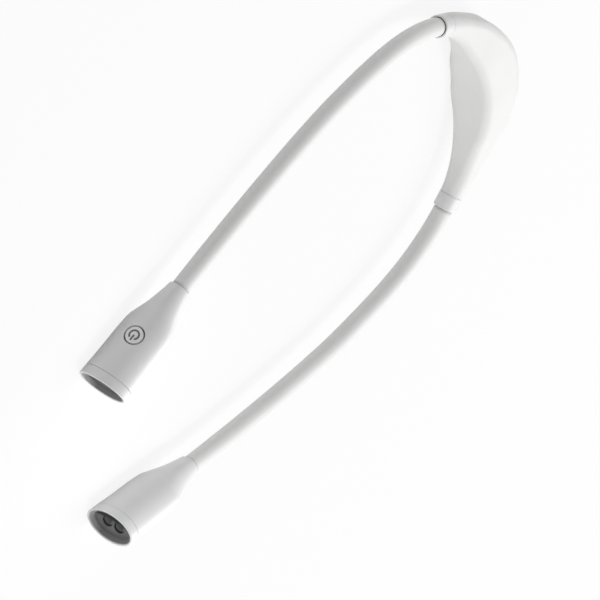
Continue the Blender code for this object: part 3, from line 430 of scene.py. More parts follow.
def pod_rows(distances, inset):
    """Points round the pod at distances from its middle: a rounded section of eased sizes less an inset,
    square to the spine, and mirrored to the right side where the distance is negative."""
    share = 1 - np.abs(distances) / POD_REACH
    sizes = (POD_HALF_THICKNESSES, POD_RISES, POD_DROPS)
    corners = (POD_UPPER_CORNERS, POD_OUTER_CORNERS, POD_INNER_CORNERS)
    half, rise, drop, upper, outer, inner = (
        eased(share, POD_SHARES, law) - inset for law in (*sizes, *corners)
    )
    x, z = rounded_rows(half, ((rise, upper), (rise, upper), (drop, inner), (drop, outer)), POD_QUARTER)
    spine = SPINES["left"]
    point, _, across = spine.at(spine.middle + np.abs(distances))
    across *= np.where(across[:, 1:2] < 0, -1.0, 1.0)
    mirror = np.ones((len(distances), 3))
    mirror[:, 0] = np.where(distances < 0, -1.0, 1.0)
    point, across = point * mirror, across * mirror
    return point[:, None, :] + x[:, :, None] * across[:, None, :] + z[:, :, None] * UP


def underside_height(x, y, inset):
    """Height of the pod's underside below a point: the spine's height less the drop at the place of the
    spine that is nearest to the point."""
    spine = SPINES["left"]
    places = spine.places[:SPINE_POINTS]
    apart = (np.abs(x)[..., None] - places[:, 0]) ** 2 + (y[..., None] - places[:, 1]) ** 2
    nearest = spine.lengths[np.argmin(apart, axis=-1)] - spine.middle
    drop = eased(1 - nearest / POD_REACH, POD_SHARES, POD_DROPS) - inset
    return SPINE_HEIGHT - drop


def head_sizes(station):
    """Half height across the thin way and half width of the head at distances from its mouth."""
    share = np.asarray(station, float) / HEAD_LENGTH
    return eased(share, HEAD_SHARES, HEAD_HALF_HEIGHTS), eased(share, HEAD_SHARES, HEAD_HALF_WIDTHS)


class HeadFrame:
    """A head's own axes: the place and heading of the spine's end, carried out to the mouth."""

    def __init__(self, spine):
        point, forward, across = (v[0] for v in spine.at(spine.neck))
        self.x_axis = across * (1.0 if across[0] * spine.sign > 0 else -1.0)
        self.t_axis = -forward
        self.y_axis = np.cross(self.t_axis, self.x_axis)
        self.mouth = point + HEAD_LENGTH * forward

    def place(self, x, y, t):
        """The mouth's middle plus each distance times its own axis."""
        x, y, t = (v[..., None] for v in np.broadcast_arrays(x, y, t))
        return self.mouth + x * self.x_axis + y * self.y_axis + t * self.t_axis


HEADS = {side: HeadFrame(spine) for side, spine in SPINES.items()}


# Meshes from grids


class Shell:
    """A surface gathered from grids, closed by merging the points that coincide."""

    def __init__(self):
        self.points = []
        self.faces = []
        self.values = []

    def add(self, points, faces, values=None):
        """Gathers points, faces and a value for each point, which is 0 where none is given."""
        self.faces += (faces + len(self.points)).tolist()
        points = points.reshape(-1, 3)
        self.points += points.tolist()
        self.values += [0.0] * len(points) if values is None else np.ravel(values).tolist()

    def grid(self, points, loop_rows=False, loop_columns=True, windows=(), values=None):
        """Squares between neighbouring points of a grid, but none in a window of rows and columns."""
        rows, columns = points.shape[:2]
        r = np.arange(rows if loop_rows else rows - 1)
        c = np.arange(columns if loop_columns else columns - 1)
        r, c = np.meshgrid(r, c, indexing="ij")
        keep = np.ones(r.shape, bool)
        for row_one, row_two, column_one, column_two in windows:
            keep &= ~((r >= row_one) & (r < row_two) & (c >= column_one) & (c < column_two))
        r, c = r[keep], c[keep]
        r_next, c_next = (r + 1) % rows, (c + 1) % columns
        here, ahead = r * columns, r_next * columns
        self.add(points, np.stack((here + c, here + c_next, ahead + c_next, ahead + c), 1), values)

    def cap(self, ring):
        """Triangles from a ring of points to its middle."""
        count = len(ring)
        k = np.arange(count)
        triangles = np.stack([k, (k + 1) % count, np.full(count, count)], 1)
        self.add(np.vstack([ring, ring.mean(0)]), triangles)

    def piece(self, name, finish, crease=38.0, attribute=None):
        """The object: coinciding points merged, then every face turned outwards."""
        mesh = bpy.data.meshes.new(name)
        mesh.from_pydata(self.points, [], self.faces)
        if attribute:
            mesh.attributes.new(attribute, "FLOAT", "POINT").data.foreach_set("value", self.values)
        work = bmesh.new()
        work.from_mesh(mesh)
        bmesh.ops.remove_doubles(work, verts=work.verts, dist=MERGE)
        bmesh.ops.dissolve_degenerate(work, edges=work.edges, dist=MERGE / 10)
        bmesh.ops.recalc_face_normals(work, faces=work.faces)
        if work.calc_volume(signed=True) < 0:
            bmesh.ops.reverse_faces(work, faces=work.faces)
        work.to_mesh(mesh)
        work.free()
        mesh.shade_smooth()
        mesh.set_sharp_from_angle(angle=math.radians(crease))
        mesh.materials.append(FINISHES[finish])
        made = bpy.data.objects.new(name, mesh)
        bpy.context.scene.collection.objects.link(made)
        return made

    def rigid_piece(self, name, finish, node, body, **looks):
        """A piece that stands for one node and moves with one body."""
        made = self.piece(name, finish, **looks)
        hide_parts(node)
        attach(made, body)
        return made


def window_loop(points, window):
    """The points round a window of a grid, in order, and each only once."""
    row_one, row_two, column_one, column_two = window
    sides = (
        points[row_one, column_one:column_two],
        points[row_one:row_two, column_two],
        points[row_two, column_two:column_one:-1],
        points[row_two:row_one:-1, column_one],
    )
    return np.concatenate(sides)


def outline_radius(outline, angles):
    """Distance of a closed outline from its own middle at given angles, by interpolation round it."""
    around = np.arctan2(outline[:, 1], outline[:, 0])
    order = np.argsort(around)
    return np.interp(angles, around[order], np.hypot(*outline.T)[order], period=2 * math.pi)


def hole_rings(loop, flat, centre, hole, edge, lift, steps):
    """Rings from a window's edge in to a hole. In the flat, each point moves straight towards the hole's
    middle, and the last few sink over a quarter circle that rounds the hole's edge. Lift raises them."""
    away = flat - np.asarray(centre)
    far = np.hypot(*away.T)
    angles = np.arctan2(away[:, 1], away[:, 0])
    near = outline_radius(hole, angles)
    heading = away / far[:, None]
    rings = [loop]
    for share in np.linspace(0, 1, steps + 1)[1:]:
        radius = far + (near + edge - far) * share
        rings.append(lift(centre + heading * radius[:, None], 0.0))
    for sunk, back in quarter_round(edge, EDGE_POINTS)[1:] if edge else ():
        rings.append(lift(centre + heading * (near + back)[:, None], sunk))
    return np.array(rings)


def circle_outline(radius):
    """Points round a circle: the cosine and sine of even angles, times the radius."""
    angles = np.linspace(-math.pi, math.pi, CIRCLE_POINTS, endpoint=False)
    return np.stack([radius * np.cos(angles), radius * np.sin(angles)], 1)


def turned_rows(profile, sides, middle, x_axis, y_axis, z_axis):
    """A profile of radius and height carried round an axis: at each angle, the middle plus the radius times
    the angle's direction, plus the height times the axis."""
    angles = np.linspace(0, 2 * math.pi, sides, endpoint=False)
    profile = np.asarray(profile, float)
    ring = np.cos(angles)[:, None] * x_axis + np.sin(angles)[:, None] * y_axis
    return middle + profile[:, :1, None] * ring[None] + profile[:, 1:, None] * z_axis[None, None]


def arc_points(middle, radius, first, last, count):
    """Points on a circle's arc, from one angle to another in degrees."""
    angles = np.radians(np.linspace(first, last, count))
    return [(middle[0] + radius * math.cos(a), middle[1] + radius * math.sin(a)) for a in angles]


def quarter_round(edge, count):
    """How far the points of a rounded edge lie back from its corner, along one side and along the other."""
    turns = np.linspace(0, math.pi / 2, count)
    return np.stack([edge * (1 - np.cos(turns)), edge * (1 - np.sin(turns))], 1)


# Finishes


FINISHES = {}


class Finish:
    """A material under construction: its shader, and short ways to add the nodes that drive it."""

    def __init__(self, name, roughness, metallic=0.0, **constants):
        self.material = bpy.data.materials.new("finish_" + name)
        self.material.use_nodes = True
        self.nodes = self.material.node_tree.nodes
        self.links = self.material.node_tree.links
        self.shader = self.nodes["Principled BSDF"]
        self.shader.inputs["Roughness"].default_value = roughness
        self.shader.inputs["Metallic"].default_value = metallic
        for socket, value in constants.items():
            self.shader.inputs[socket.replace("_", " ")].default_value = value
        self.place = self.nodes.new("ShaderNodeTexCoord").outputs["Object"]
        FINISHES[name] = self.material

    def stretched(self, scale):
        """The piece's own coordinates, each times its scale."""
        mapping = self.nodes.new("ShaderNodeMapping")
        mapping.inputs["Scale"].default_value = scale
        self.links.new(self.place, mapping.inputs["Vector"])
        return mapping.outputs["Vector"]

    def noise(self, scale, detail, vector=None):
        """Cloudy noise from 0 to 1 over the piece's own coordinates, or over those given."""
        texture = self.nodes.new("ShaderNodeTexNoise")
        texture.inputs["Scale"].default_value = scale
        texture.inputs["Detail"].default_value = detail
        self.links.new(vector or self.place, texture.inputs["Vector"])
        return texture.outputs["Fac"]

    def tint(self, value, dark, light, low=0.3, high=0.7):
        """Base colour, from dark to light as a value goes from low to high."""
        ramp = self.nodes.new("ShaderNodeValToRGB")
        for element, place, colour in zip(ramp.color_ramp.elements, (low, high), (dark, light)):
            element.position = place
            element.color = (*colour, 1.0)
        self.links.new(value, ramp.inputs["Fac"])
        self.links.new(ramp.outputs["Color"], self.shader.inputs["Base Color"])

    def shade(self, name, grey):
        """Mixes a grey into the base colour, as much as a piece's points carry under a name. A piece whose
        points carry nothing has none. The mixing node's colour sockets go by number."""
        amount = self.nodes.new("ShaderNodeAttribute")
        amount.attribute_name = name
        mix = self.nodes.new("ShaderNodeMix")
        mix.data_type = "RGBA"
        mix.inputs[7].default_value = (grey, grey, grey, 1.0)
        base = self.shader.inputs["Base Color"]
        self.links.new(amount.outputs["Fac"], mix.inputs["Factor"])
        self.links.new(base.links[0].from_socket, mix.inputs[6])
        self.links.new(mix.outputs[2], base)

    def rough(self, value, low, high):
        """Roughness, from low to high as a value goes from 0 to 1."""
        spread = self.nodes.new("ShaderNodeMapRange")
        spread.inputs["To Min"].default_value = low
        spread.inputs["To Max"].default_value = high
        self.links.new(value, spread.inputs["Value"])
        self.links.new(spread.outputs["Result"], self.shader.inputs["Roughness"])

    def bump(self, value, strength, distance):
        """Bumps in the shading: a value's height times the distance, mixed in by the strength."""
        bump = self.nodes.new("ShaderNodeBump")
        bump.inputs["Strength"].default_value = strength
        bump.inputs["Distance"].default_value = distance
        self.links.new(value, bump.inputs["Height"])
        self.links.new(bump.outputs["Normal"], self.shader.inputs["Normal"])


def make_finishes():
    """A finish for each slot, and a paler one for the button's cap. A fine pattern varies each one's
    colour, and with most of them the roughness and the bumps too."""
    silicone = Finish("white_silicone", 0.52)
    silicone.tint(silicone.noise(45.0, 4.0), (0.845, 0.845, 0.838), (0.872, 0.872, 0.866))
    # Painted shade: grey mixed into the sleeve next to each collar and head, where the parts meet
    silicone.shade("painted_seam_shade", 0.50)
    silicone.rough(silicone.noise(700.0, 4.0), 0.47, 0.58)
    silicone.bump(silicone.noise(5200.0, 2.0), 0.10, 0.00006)

    plastic = Finish("white_plastic", 0.4)
    plastic.tint(plastic.noise(60.0, 3.0), (0.845, 0.846, 0.845), (0.868, 0.869, 0.868))
    plastic.rough(plastic.noise(900.0, 3.0), 0.34, 0.44)
    plastic.bump(plastic.noise(7500.0, 2.0), 0.06, 0.00005)

    cap = Finish("button_plastic", 0.4)
    cap.tint(cap.noise(60.0, 3.0), (0.915, 0.916, 0.915), (0.935, 0.936, 0.935))
    # Grey mixed in by the mark attribute: the printed power mark, and painted shade on the cap's sides in
    # its groove
    cap.shade("mark", 0.15)
    cap.rough(cap.noise(900.0, 3.0), 0.34, 0.44)
    cap.bump(cap.noise(7500.0, 2.0), 0.06, 0.00005)

    plate = Finish("lens_plate_plastic", 0.45, Specular_IOR_Level=0.15)
    plate.tint(plate.noise(500.0, 4.0), (0.008, 0.008, 0.009), (0.016, 0.016, 0.016))
    # Grey mixed in by the wall attribute: the dish's own paler wall, with painted light on its lower end and
    # painted shade below the near rim and round the lenses
    plate.shade("wall", 0.50)
    plate.rough(plate.noise(1500.0, 3.0), 0.40, 0.52)
    plate.bump(plate.noise(9000.0, 2.0), 0.12, 0.00004)

    lens = Finish("lens_plastic", 0.08, IOR=1.5)
    lens.tint(lens.noise(900.0, 2.0), (0.016, 0.016, 0.018), (0.030, 0.030, 0.030))
    lens.rough(lens.noise(2500.0, 2.0), 0.06, 0.14)

    steel = Finish("steel", 0.3, 1.0)
    drawn = steel.noise(900.0, 3.0, vector=steel.stretched((1.0, 1.0, 0.05)))
    steel.tint(drawn, (0.50, 0.50, 0.49), (0.66, 0.66, 0.64))
    steel.rough(drawn, 0.22, 0.40)
    steel.bump(drawn, 0.15, 0.00003)

    inner = Finish("inner_plastic", 0.6)
    inner.tint(inner.noise(350.0, 4.0), (0.28, 0.285, 0.29), (0.34, 0.345, 0.35))
    inner.rough(inner.noise(1800.0, 3.0), 0.52, 0.68)
    inner.bump(inner.noise(4000.0, 3.0), 0.2, 0.00006)

    board = Finish("circuit_board", 0.45)
    fibre = board.noise(2600.0, 2.0, vector=board.stretched((1.0, 1.0, 0.3)))
    board.tint(fibre, (0.030, 0.150, 0.080), (0.055, 0.230, 0.120), 0.35, 0.65)
    board.rough(board.noise(1200.0, 3.0), 0.35, 0.55)
    board.bump(fibre, 0.2, 0.00004)

    wrap = Finish("cell_wrap", 0.35, 0.35)
    creases = wrap.noise(260.0, 5.0, vector=wrap.stretched((1.0, 1.0, 2.5)))
    wrap.tint(creases, (0.46, 0.50, 0.56), (0.60, 0.64, 0.70))
    wrap.rough(creases, 0.26, 0.46)
    wrap.bump(creases, 0.4, 0.0002)

    foam = Finish("foam", 0.95)
    cells = foam.nodes.new("ShaderNodeTexVoronoi")
    cells.inputs["Scale"].default_value = 2200.0
    foam.links.new(foam.place, cells.inputs["Vector"])
    foam.tint(cells.outputs["Distance"], (0.03, 0.03, 0.03), (0.14, 0.14, 0.14), 0.0, 0.6)
    foam.bump(cells.outputs["Distance"], 0.7, 0.0002)

    sheath = Finish("lead_sheath", 0.5)
    sheath.tint(sheath.noise(800.0, 3.0), (0.020, 0.020, 0.022), (0.045, 0.045, 0.048))
    sheath.rough(sheath.noise(2500.0, 3.0), 0.42, 0.60)
    sheath.bump(sheath.noise(5000.0, 2.0), 0.15, 0.00004)

    black = Finish("switch_black", 0.4)
    black.tint(black.noise(900.0, 3.0), (0.018, 0.018, 0.020), (0.040, 0.040, 0.043))
    black.rough(black.noise(2200.0, 3.0), 0.34, 0.50)
    black.bump(black.noise(6500.0, 2.0), 0.15, 0.00004)


def dress_cad_nodes():
    """Gives each CAD node its slot's finish, so that every inner piece has one too."""
    for material in frame["record"]["materials"]:
        for name in material.get("nodes", []):
            node = frame["nodes"][name]
            for entry in node.material_slots:
                entry.material = FINISHES[material["slot"]]


# Pod


def nearest_row(values, wanted):
    """The number of the value that differs least from a wanted one."""
    return int(np.argmin(np.abs(values - wanted)))


def make_pod_cover():
    """The soft cover: the pod's outline carried along the spine, outside and again drawn in by the wall,
    with flat ends and holes below for the charging port and its light."""
    distances = np.linspace(-POD_REACH, POD_REACH, POD_ROWS)
    outer, inner = pod_rows(distances, 0.0), pod_rows(distances, SKIN_WALL)
    shell = Shell()
    bottom = 3 * POD_QUARTER
    below = slice(bottom - UNDERSIDE_COLUMNS, bottom + UNDERSIDE_COLUMNS)
    windows = []
    for low_x, high_x, low_y, high_y in (PORT_WINDOW, PIPE_WINDOW):
        rows = nearest_row(distances, low_x), nearest_row(distances, high_x)
        middle_row = outer[sum(rows) // 2, below, 1]
        columns = [below.start + nearest_row(middle_row, wanted) for wanted in (low_y, high_y)]
        windows.append((*rows, *columns))
    shell.grid(outer, windows=windows)
    shell.grid(inner, windows=windows)
    for row in (0, -1):
        shell.grid(np.array([outer[row], inner[row]]))
    half_width, half_height = PORT_HALF_SIZE
    port = rounded_rows([half_width], [([half_height], [PORT_CORNER])] * 4, PORT_QUARTER)
    port = np.column_stack([values[0] for values in port])
    holes = ((PORT_CENTRE, port), (PIPE_CENTRE, circle_outline(PIPE_HOLE_RADIUS)))
    for window, (centre, hole) in zip(windows, holes):
        rims = []
        for surface, inset, edge in ((outer, 0.0, UNDERSIDE_HOLE_EDGE), (inner, SKIN_WALL, 0.0)):

            def lift(flat, sunk, inset=inset):
                """Puts level points at the underside's height, and sinks them upwards into the wall."""
                height = underside_height(flat[:, 0], flat[:, 1], inset) + sunk
                return np.column_stack([flat, height])

            loop = window_loop(surface, window)
            rings = hole_rings(loop, loop[:, :2], np.array(centre), hole, edge, lift, UNDERSIDE_RINGS)
            shell.grid(rings)
            rims.append(rings[-1])
        shell.grid(np.array(rims))
    shell.rigid_piece("pod_cover", "white_silicone", "pod_skin", "pod")


# Collars and arms


def lip_arc(first, last):
    """The rounded inner edge of a mouth round the arm, as radius and depth."""
    edge = LIP_INNER_EDGE
    return arc_points((LIP_RADIUS + edge, -edge), edge, first, last, LIP_POINTS)


def make_collar(side):
    """The rigid ring at the pod's end: a hollow profile turned about the spine, with a rounded mouth."""
    point, forward, across = (v[0] for v in SPINES[side].at(0.0))
    pod_radius, depth, edge = POD_RISES[0], COLLAR_LENGTH - SEAM, COLLAR_EDGE
    mouth_edge = (COLLAR_RADIUS - COLLAR_MOUTH_EDGE, -COLLAR_MOUTH_EDGE)
    profile = lip_arc(180, 90) + arc_points(mouth_edge, COLLAR_MOUTH_EDGE, 90, 0, COLLAR_MOUTH_POINTS)
    radius_step = (pod_radius - COLLAR_RADIUS) / COLLAR_STEPS
    depth_step = (edge - depth + COLLAR_MOUTH_EDGE) / COLLAR_STEPS
    for k in range(1, COLLAR_STEPS + 1):
        profile.append((COLLAR_RADIUS + k * radius_step, k * depth_step - COLLAR_MOUTH_EDGE))
    profile += arc_points((pod_radius - edge, edge - depth), edge, 0, -90, EDGE_POINTS)
    profile += [(SOCKET_RADIUS, -depth), (SOCKET_RADIUS, -LIP_DEPTH), (LIP_RADIUS, -LIP_DEPTH)]
    shell = Shell()
    shell.grid(turned_rows(profile, COLLAR_SIDES, point, across, UP, forward), loop_rows=True)
    shell.rigid_piece(f"collar_{side}", "white_plastic", f"end_collar_{side}", "pod")


def arm_rows(spine, distances, radii):
    """Circles square to the spine: its point, plus the radius times each angle's cosine to the side and
    its sine upwards."""
    point, _, across = spine.at(distances)
    angles = np.linspace(0, 2 * math.pi, ARM_SIDES, endpoint=False)
    ring = np.cos(angles)[None, :, None] * across[:, None, :] + np.sin(angles)[None, :, None] * UP
    return point[:, None, :] + np.asarray(radii)[:, None, None] * ring


def make_arm(side):
    """The arm's soft sleeve: a round tube along the spine in four lengths, each over one joint,
    with a ball inside the collar and another inside the head."""
    spine = SPINES[side]
    joints = spine.joints()
    middles = [(joints[k] + joints[k + 1]) / 2 for k in range(3)]
    ends = [joints[0], *middles, joints[3]]
    lengths = [f"{part}_{side}" for part in ("lower", "middle", "upper")]
    nodes = ["sleeve_" + name for name in lengths]
    reaches = [ROOT_BEND, (MIDDLE_BEND, MIDDLE_BEND), (MIDDLE_BEND, MIDDLE_BEND), NECK_BEND]
    ball = np.linspace(0, math.pi / 2, BALL_ROWS, endpoint=False)
    ball_reach, ball_radii = ARM_RADIUS * np.cos(ball), ARM_RADIUS * np.sin(ball)
    for k, part in enumerate(("root", "lower", "upper", "neck")):
        first, last = ends[k], ends[k + 1]
        count = int((last - first) / ARM_STEP) + 1
        distances, radii = np.linspace(first, last, count), np.full(count, ARM_RADIUS)
        if part == "root":
            distances = np.concatenate([first - ball_reach, distances])
            radii = np.concatenate([ball_radii, radii])
        if part == "neck":
            distances = np.concatenate([distances, last + ball_reach[::-1]])
            radii = np.concatenate([radii, ball_radii[::-1]])
        rows = arm_rows(spine, distances, radii)
        # Painted shade on the sleeve, fading out over a short length from each collar and each head
        outside = np.minimum(distances, spine.neck - distances)
        shade = 1 - between(outside, 0, SEAM_PAINTED_SHADE)
        shell = Shell()
        shell.grid(rows, values=np.repeat(shade, ARM_SIDES))
        if part != "root":
            shell.cap(rows[0])
        if part != "neck":
            shell.cap(rows[-1])
        # The sleeve's points carry the painted shade next to the collar and the head
        tube = shell.piece(f"arm_tube_{part}_{side}", "white_silicone", crease=60.0, attribute="painted_seam_shade")
        stood_for = nodes[max(k - 1, 0) : k + 1]
        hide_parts(*stood_for)
        pivot, forward, _ = (v[0] for v in spine.at(joints[k]))
        before, after = reaches[k]
        start, end = pivot - before * forward, pivot + after * forward
        tuple(start)
        tuple(end)
        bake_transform(tube)


# Heads


HEAD_ANGLES = np.linspace(-math.pi, math.pi, HEAD_COLUMNS, endpoint=False)


def oval_rows(head, stations, half_heights, half_widths):
    """Ellipses square to the head's axis at stations along it: the half height times the cosine of each
    angle, and the half width times its sine."""
    heights, widths = (np.asarray(v, float)[:, None] for v in (half_heights, half_widths))
    x, y = heights * np.cos(HEAD_ANGLES), widths * np.sin(HEAD_ANGLES)
    return head.place(x, y, np.asarray(stations, float)[:, None])


def inset_rows(stations, insets):
    """Half sizes of the head at stations, drawn in by insets."""
    height, width = head_sizes(stations)
    return height - np.asarray(insets), width - np.asarray(insets)


def head_lift(head, inset):
    """Puts points of the head's y and t plane on its surface, drawn in by an inset: x is the half height
    times the root of 1 less the square of y over the half width, less how far the point is sunk."""

    def lift(flat, sunk):
        height, width = inset_rows(flat[:, 1], inset)
        x = height * np.sqrt(np.clip(1 - (flat[:, 0] / width) ** 2, 0, None)) - sunk
        return head.place(x, flat[:, 0], flat[:, 1])

    return lift


def housing_rows(head):
    """The housing's rows: outside from the front to the neck, then the arm's bore, the hollow and the seat
    of the mouth's rim. With them come the outside's stations, the hollow's first row and its stations."""
    front, front_inset = quarter_round(SEAM_EDGE, EDGE_POINTS).T
    end_inset, end = quarter_round(NECK_EDGE, EDGE_POINTS).T
    start, stop = HOUSING_FRONT + SEAM_EDGE, HEAD_LENGTH - NECK_EDGE
    along = np.linspace(start, stop, int((stop - start) / HEAD_STEP) + 1)[1:]
    stations = np.concatenate([HOUSING_FRONT + front, along, HEAD_LENGTH - end[1:]])
    insets = np.concatenate([front_inset, np.zeros(len(along)), end_inset[1:]])
    outer = oval_rows(head, stations, *inset_rows(stations, insets))
    lip = lip_arc(90, 180)
    radii = [radius for radius, _ in lip] + [LIP_RADIUS] + [SOCKET_RADIUS] * BORE_ROWS
    bore = [HEAD_LENGTH + depth for _, depth in lip] + [HEAD_LENGTH - LIP_DEPTH]
    bore += list(np.linspace(HEAD_LENGTH - LIP_DEPTH, BORE_STOP, BORE_ROWS))
    hollow = np.linspace(BORE_STOP, SEAT_END, HOLLOW_ROWS)
    seat = np.linspace(SEAT_END, HOUSING_FRONT, SEAT_ROWS)
    inside = [
        oval_rows(head, bore, radii, radii),
        oval_rows(head, hollow, *inset_rows(hollow, HEAD_WALL)),
        oval_rows(head, seat, *inset_rows(seat, SEAT_WALL)),
    ]
    return np.concatenate([outer, *inside]), stations, len(outer) + len(bore), hollow


def make_head_shell(side):
    """The flask-shaped housing: ellipses along the head outside and again inside, rounded at both ends,
    with the bore for the arm's end and a round hole for the button."""
    head = HEADS[side]
    rows, stations, hollow_start, hollow = housing_rows(head)
    half_columns = round(BUTTON_WINDOW_ANGLE / (2 * math.pi / HEAD_COLUMNS))
    columns = HEAD_COLUMNS // 2 - half_columns, HEAD_COLUMNS // 2 + half_columns
    low, high = BUTTON_STATION - BUTTON_WINDOW_REACH, BUTTON_STATION + BUTTON_WINDOW_REACH
    first, last = nearest_row(stations, low), nearest_row(stations, high)
    inner_first = hollow_start + nearest_row(hollow, high)
    outer_window = (first, last, *columns)
    inner_window = (inner_first, inner_first + last - first, *columns)
    shell = Shell()
    shell.grid(rows, loop_rows=True, windows=(outer_window, inner_window))
    centre = np.array((0.0, BUTTON_STATION))
    rims = []
    for window, inset, edge in ((outer_window, 0.0, BUTTON_HOLE_EDGE), (inner_window, HEAD_WALL, 0.0)):
        loop = window_loop(rows, window)
        if inset:
            loop = loop[::-1]
        offset = loop - head.mouth
        flat = np.stack([offset @ head.y_axis, offset @ head.t_axis], 1)
        start_at = int(np.argmin(np.abs(np.arctan2(flat[:, 1] - BUTTON_STATION, flat[:, 0]))))
        loop, flat = np.roll(loop, -start_at, 0), np.roll(flat, -start_at, 0)
        outline, lift = circle_outline(BUTTON_HOLE), head_lift(head, inset)
        rings = hole_rings(loop, flat, centre, outline, edge, lift, BUTTON_HOLE_RINGS)
        shell.grid(rings)
        rims.append(rings[-1])
    shell.grid(np.array(rims))
    shell.rigid_piece(f"head_shell_{side}", "white_plastic", f"head_housing_{side}", f"head_{side}")


def make_mouth_rim(side):
    """The rim of the mouth: a hollow profile carried round the head's ellipse."""
    head = HEADS[side]
    lip = quarter_round(LIP_EDGE, FINE_EDGE_POINTS)
    rows = [(t, MOUTH_SIZE[0] + grow, MOUTH_SIZE[1] + grow) for grow, t in lip]
    rows += [(t, *inset_rows(t, inset)) for t, inset in lip]
    rows += [(t, *head_sizes(t)) for t in np.linspace(LIP_EDGE, BEZEL_DEPTH - SEAM_EDGE, BEZEL_ROWS)[1:]]
    for inset, back in quarter_round(SEAM_EDGE, FINE_EDGE_POINTS)[1:]:
        rows.append((BEZEL_DEPTH - back, *inset_rows(BEZEL_DEPTH - back, inset)))
    spigot = [size - SPIGOT_INSET for size in head_sizes(SPIGOT_STATION)]
    rows += [(BEZEL_DEPTH, *spigot), (SPIGOT_END, *spigot)]
    rows += [(SPIGOT_END, *LEDGE_SIZE), (LEDGE_FRONT, *LEDGE_SIZE), (LEDGE_FRONT, *MOUTH_SIZE)]
    stations, heights, widths = np.array(rows, float).T
    shell = Shell()
    shell.grid(oval_rows(head, stations, heights, widths), loop_rows=True)
    shell.rigid_piece(f"mouth_rim_{side}", "white_plastic", f"bezel_ring_{side}", f"head_{side}")


def half_oval_loop(half_height, half_width, sign):
    """The outline of half an ellipse in the head's x and y: its arc, then its straight side back."""
    angles = np.linspace(0, math.pi, OVAL_CURVED, endpoint=False)
    arc = np.stack([half_height * np.cos(angles), half_width * np.sin(angles)], 1)
    heights = np.linspace(-half_height, half_height, OVAL_STRAIGHT, endpoint=False)
    loop = np.vstack([arc, np.stack([heights, np.zeros(OVAL_STRAIGHT)], 1)])
    loop[:, 1] *= sign
    return loop


def at_least(least, share):
    """A share of 0 to 1 spread over the range from a least value to 1."""
    return least + (1 - least) * share


def dish_tone_and_painted_light(head, points):
    """How pale the dish is, its own tone with painted light and shade: most on the wall's lower end, as
    painted light, little on its sides, least along the floor's edge below the near rim, as a painted shadow,
    and round the lenses, as painted shade. Shares that fade over set distances are multiplied, and
    the greater of the lower end's paleness and the rest's counts."""
    offset = points - head.mouth
    x, y, t = (offset @ axis for axis in (head.x_axis, head.y_axis, head.t_axis))
    half_height, half_width = DISH_INNER
    rise = between(DISH_FLOOR - t, 0, DISH_FADE_HEIGHT)
    lower_end = softened(between(-y * np.sign(head.y_axis[2]) / half_width, *DISH_FADE_LOW))
    chord = half_height * np.sqrt(np.clip(1 - (y / half_width) ** 2, DISH_CHORD_LEAST, 1))
    near = between(-x * np.sign(head.x_axis[0]) / chord, *DISH_FADE_NEAR)
    off_lens = between(np.hypot(x, np.abs(y) - LENS_OFFSET), *DISH_FADE_LENS)
    floor = DISH_PALE_FLOOR * (1 - near) * at_least(DISH_PALE_LEAST, off_lens)
    lit = lower_end * at_least(DISH_PALE_LEAST, rise) * (1 - DISH_NEAR_SHADE * near * (1 - rise))
    return np.maximum(lit, floor + (DISH_PALE_WALL - floor) * rise)


def dish_rows():
    """The dish's wall from behind the rim in to the floor, as station, half height and half width: plain
    behind, a small chamfer, then in from the rim by the taper, and by the fillet."""
    half_height, half_width = DISH_OUTER
    rows = [(DISH_BACK, *DISH_OUTER), (DISH_RIM + DISH_CHAMFER, *DISH_OUTER)]
    rows += [(DISH_RIM, half_height - DISH_CHAMFER, half_width - DISH_CHAMFER), (DISH_RIM, *DISH_INNER)]
    drawn = []
    for share in np.linspace(0, 1, DISH_ROWS)[1:]:
        drawn.append((DISH_RIM + (DISH_FLOOR - DISH_FILLET - DISH_RIM) * share, DISH_TAPER * share))
    for inset, back in quarter_round(DISH_FILLET, FINE_EDGE_POINTS)[1:]:
        drawn.append((DISH_FLOOR - back, DISH_TAPER + inset))
    return rows + [(t, DISH_INNER[0] - inset, DISH_INNER[1] - inset) for t, inset in drawn]


def make_face_plate(side):
    """The dish in the mouth: half ellipses drawn in to a round well for each lens, a floor fillet,
    a flared wall up to the rim, and the same outline behind."""
    head = HEADS[side]
    shell = Shell()
    wall = dish_rows()
    floor_size = wall[-1][1:]
    for sign in (-1.0, 1.0):
        centre = np.array((0.0, sign * LENS_OFFSET))
        rims = []
        for t, size, edge in ((DISH_FLOOR, floor_size, LENS_WELL_EDGE), (DISH_BACK, DISH_OUTER, 0.0)):
            flat, outline = half_oval_loop(*size, sign), circle_outline(LENS_WELL)

            def lift(points, sunk, t=t):
                """Puts points of the head's x and y plane at this face's station, and sinks them in."""
                return head.place(points[:, 0], points[:, 1], t + sunk)

            rings = hole_rings(lift(flat, 0.0), flat, centre, outline, edge, lift, LENS_WELL_RINGS)
            # Values for the dish's tone, with painted light on the lower end and painted shade below the
            # near rim and round the lenses
            shell.grid(rings, values=dish_tone_and_painted_light(head, rings))
            rims.append(rings[-1])
        shell.grid(np.array(rims))
        rows = []
        for t, height, width in wall:
            flat = half_oval_loop(height, width, sign)[: OVAL_CURVED + 1]
            rows.append(head.place(flat[:, 0], flat[:, 1], t))
        # The wall rows carry the same tone with painted light and shade
        shell.grid(np.array(rows), loop_columns=False, values=dish_tone_and_painted_light(head, np.array(rows)))
    name, node, body = f"face_plate_{side}", f"lens_plate_{side}", f"head_{side}"
    # The wall attribute carries the dish's tone with its painted light and shade
    shell.rigid_piece(name, "lens_plate_plastic", node, body, crease=30.0, attribute="wall")


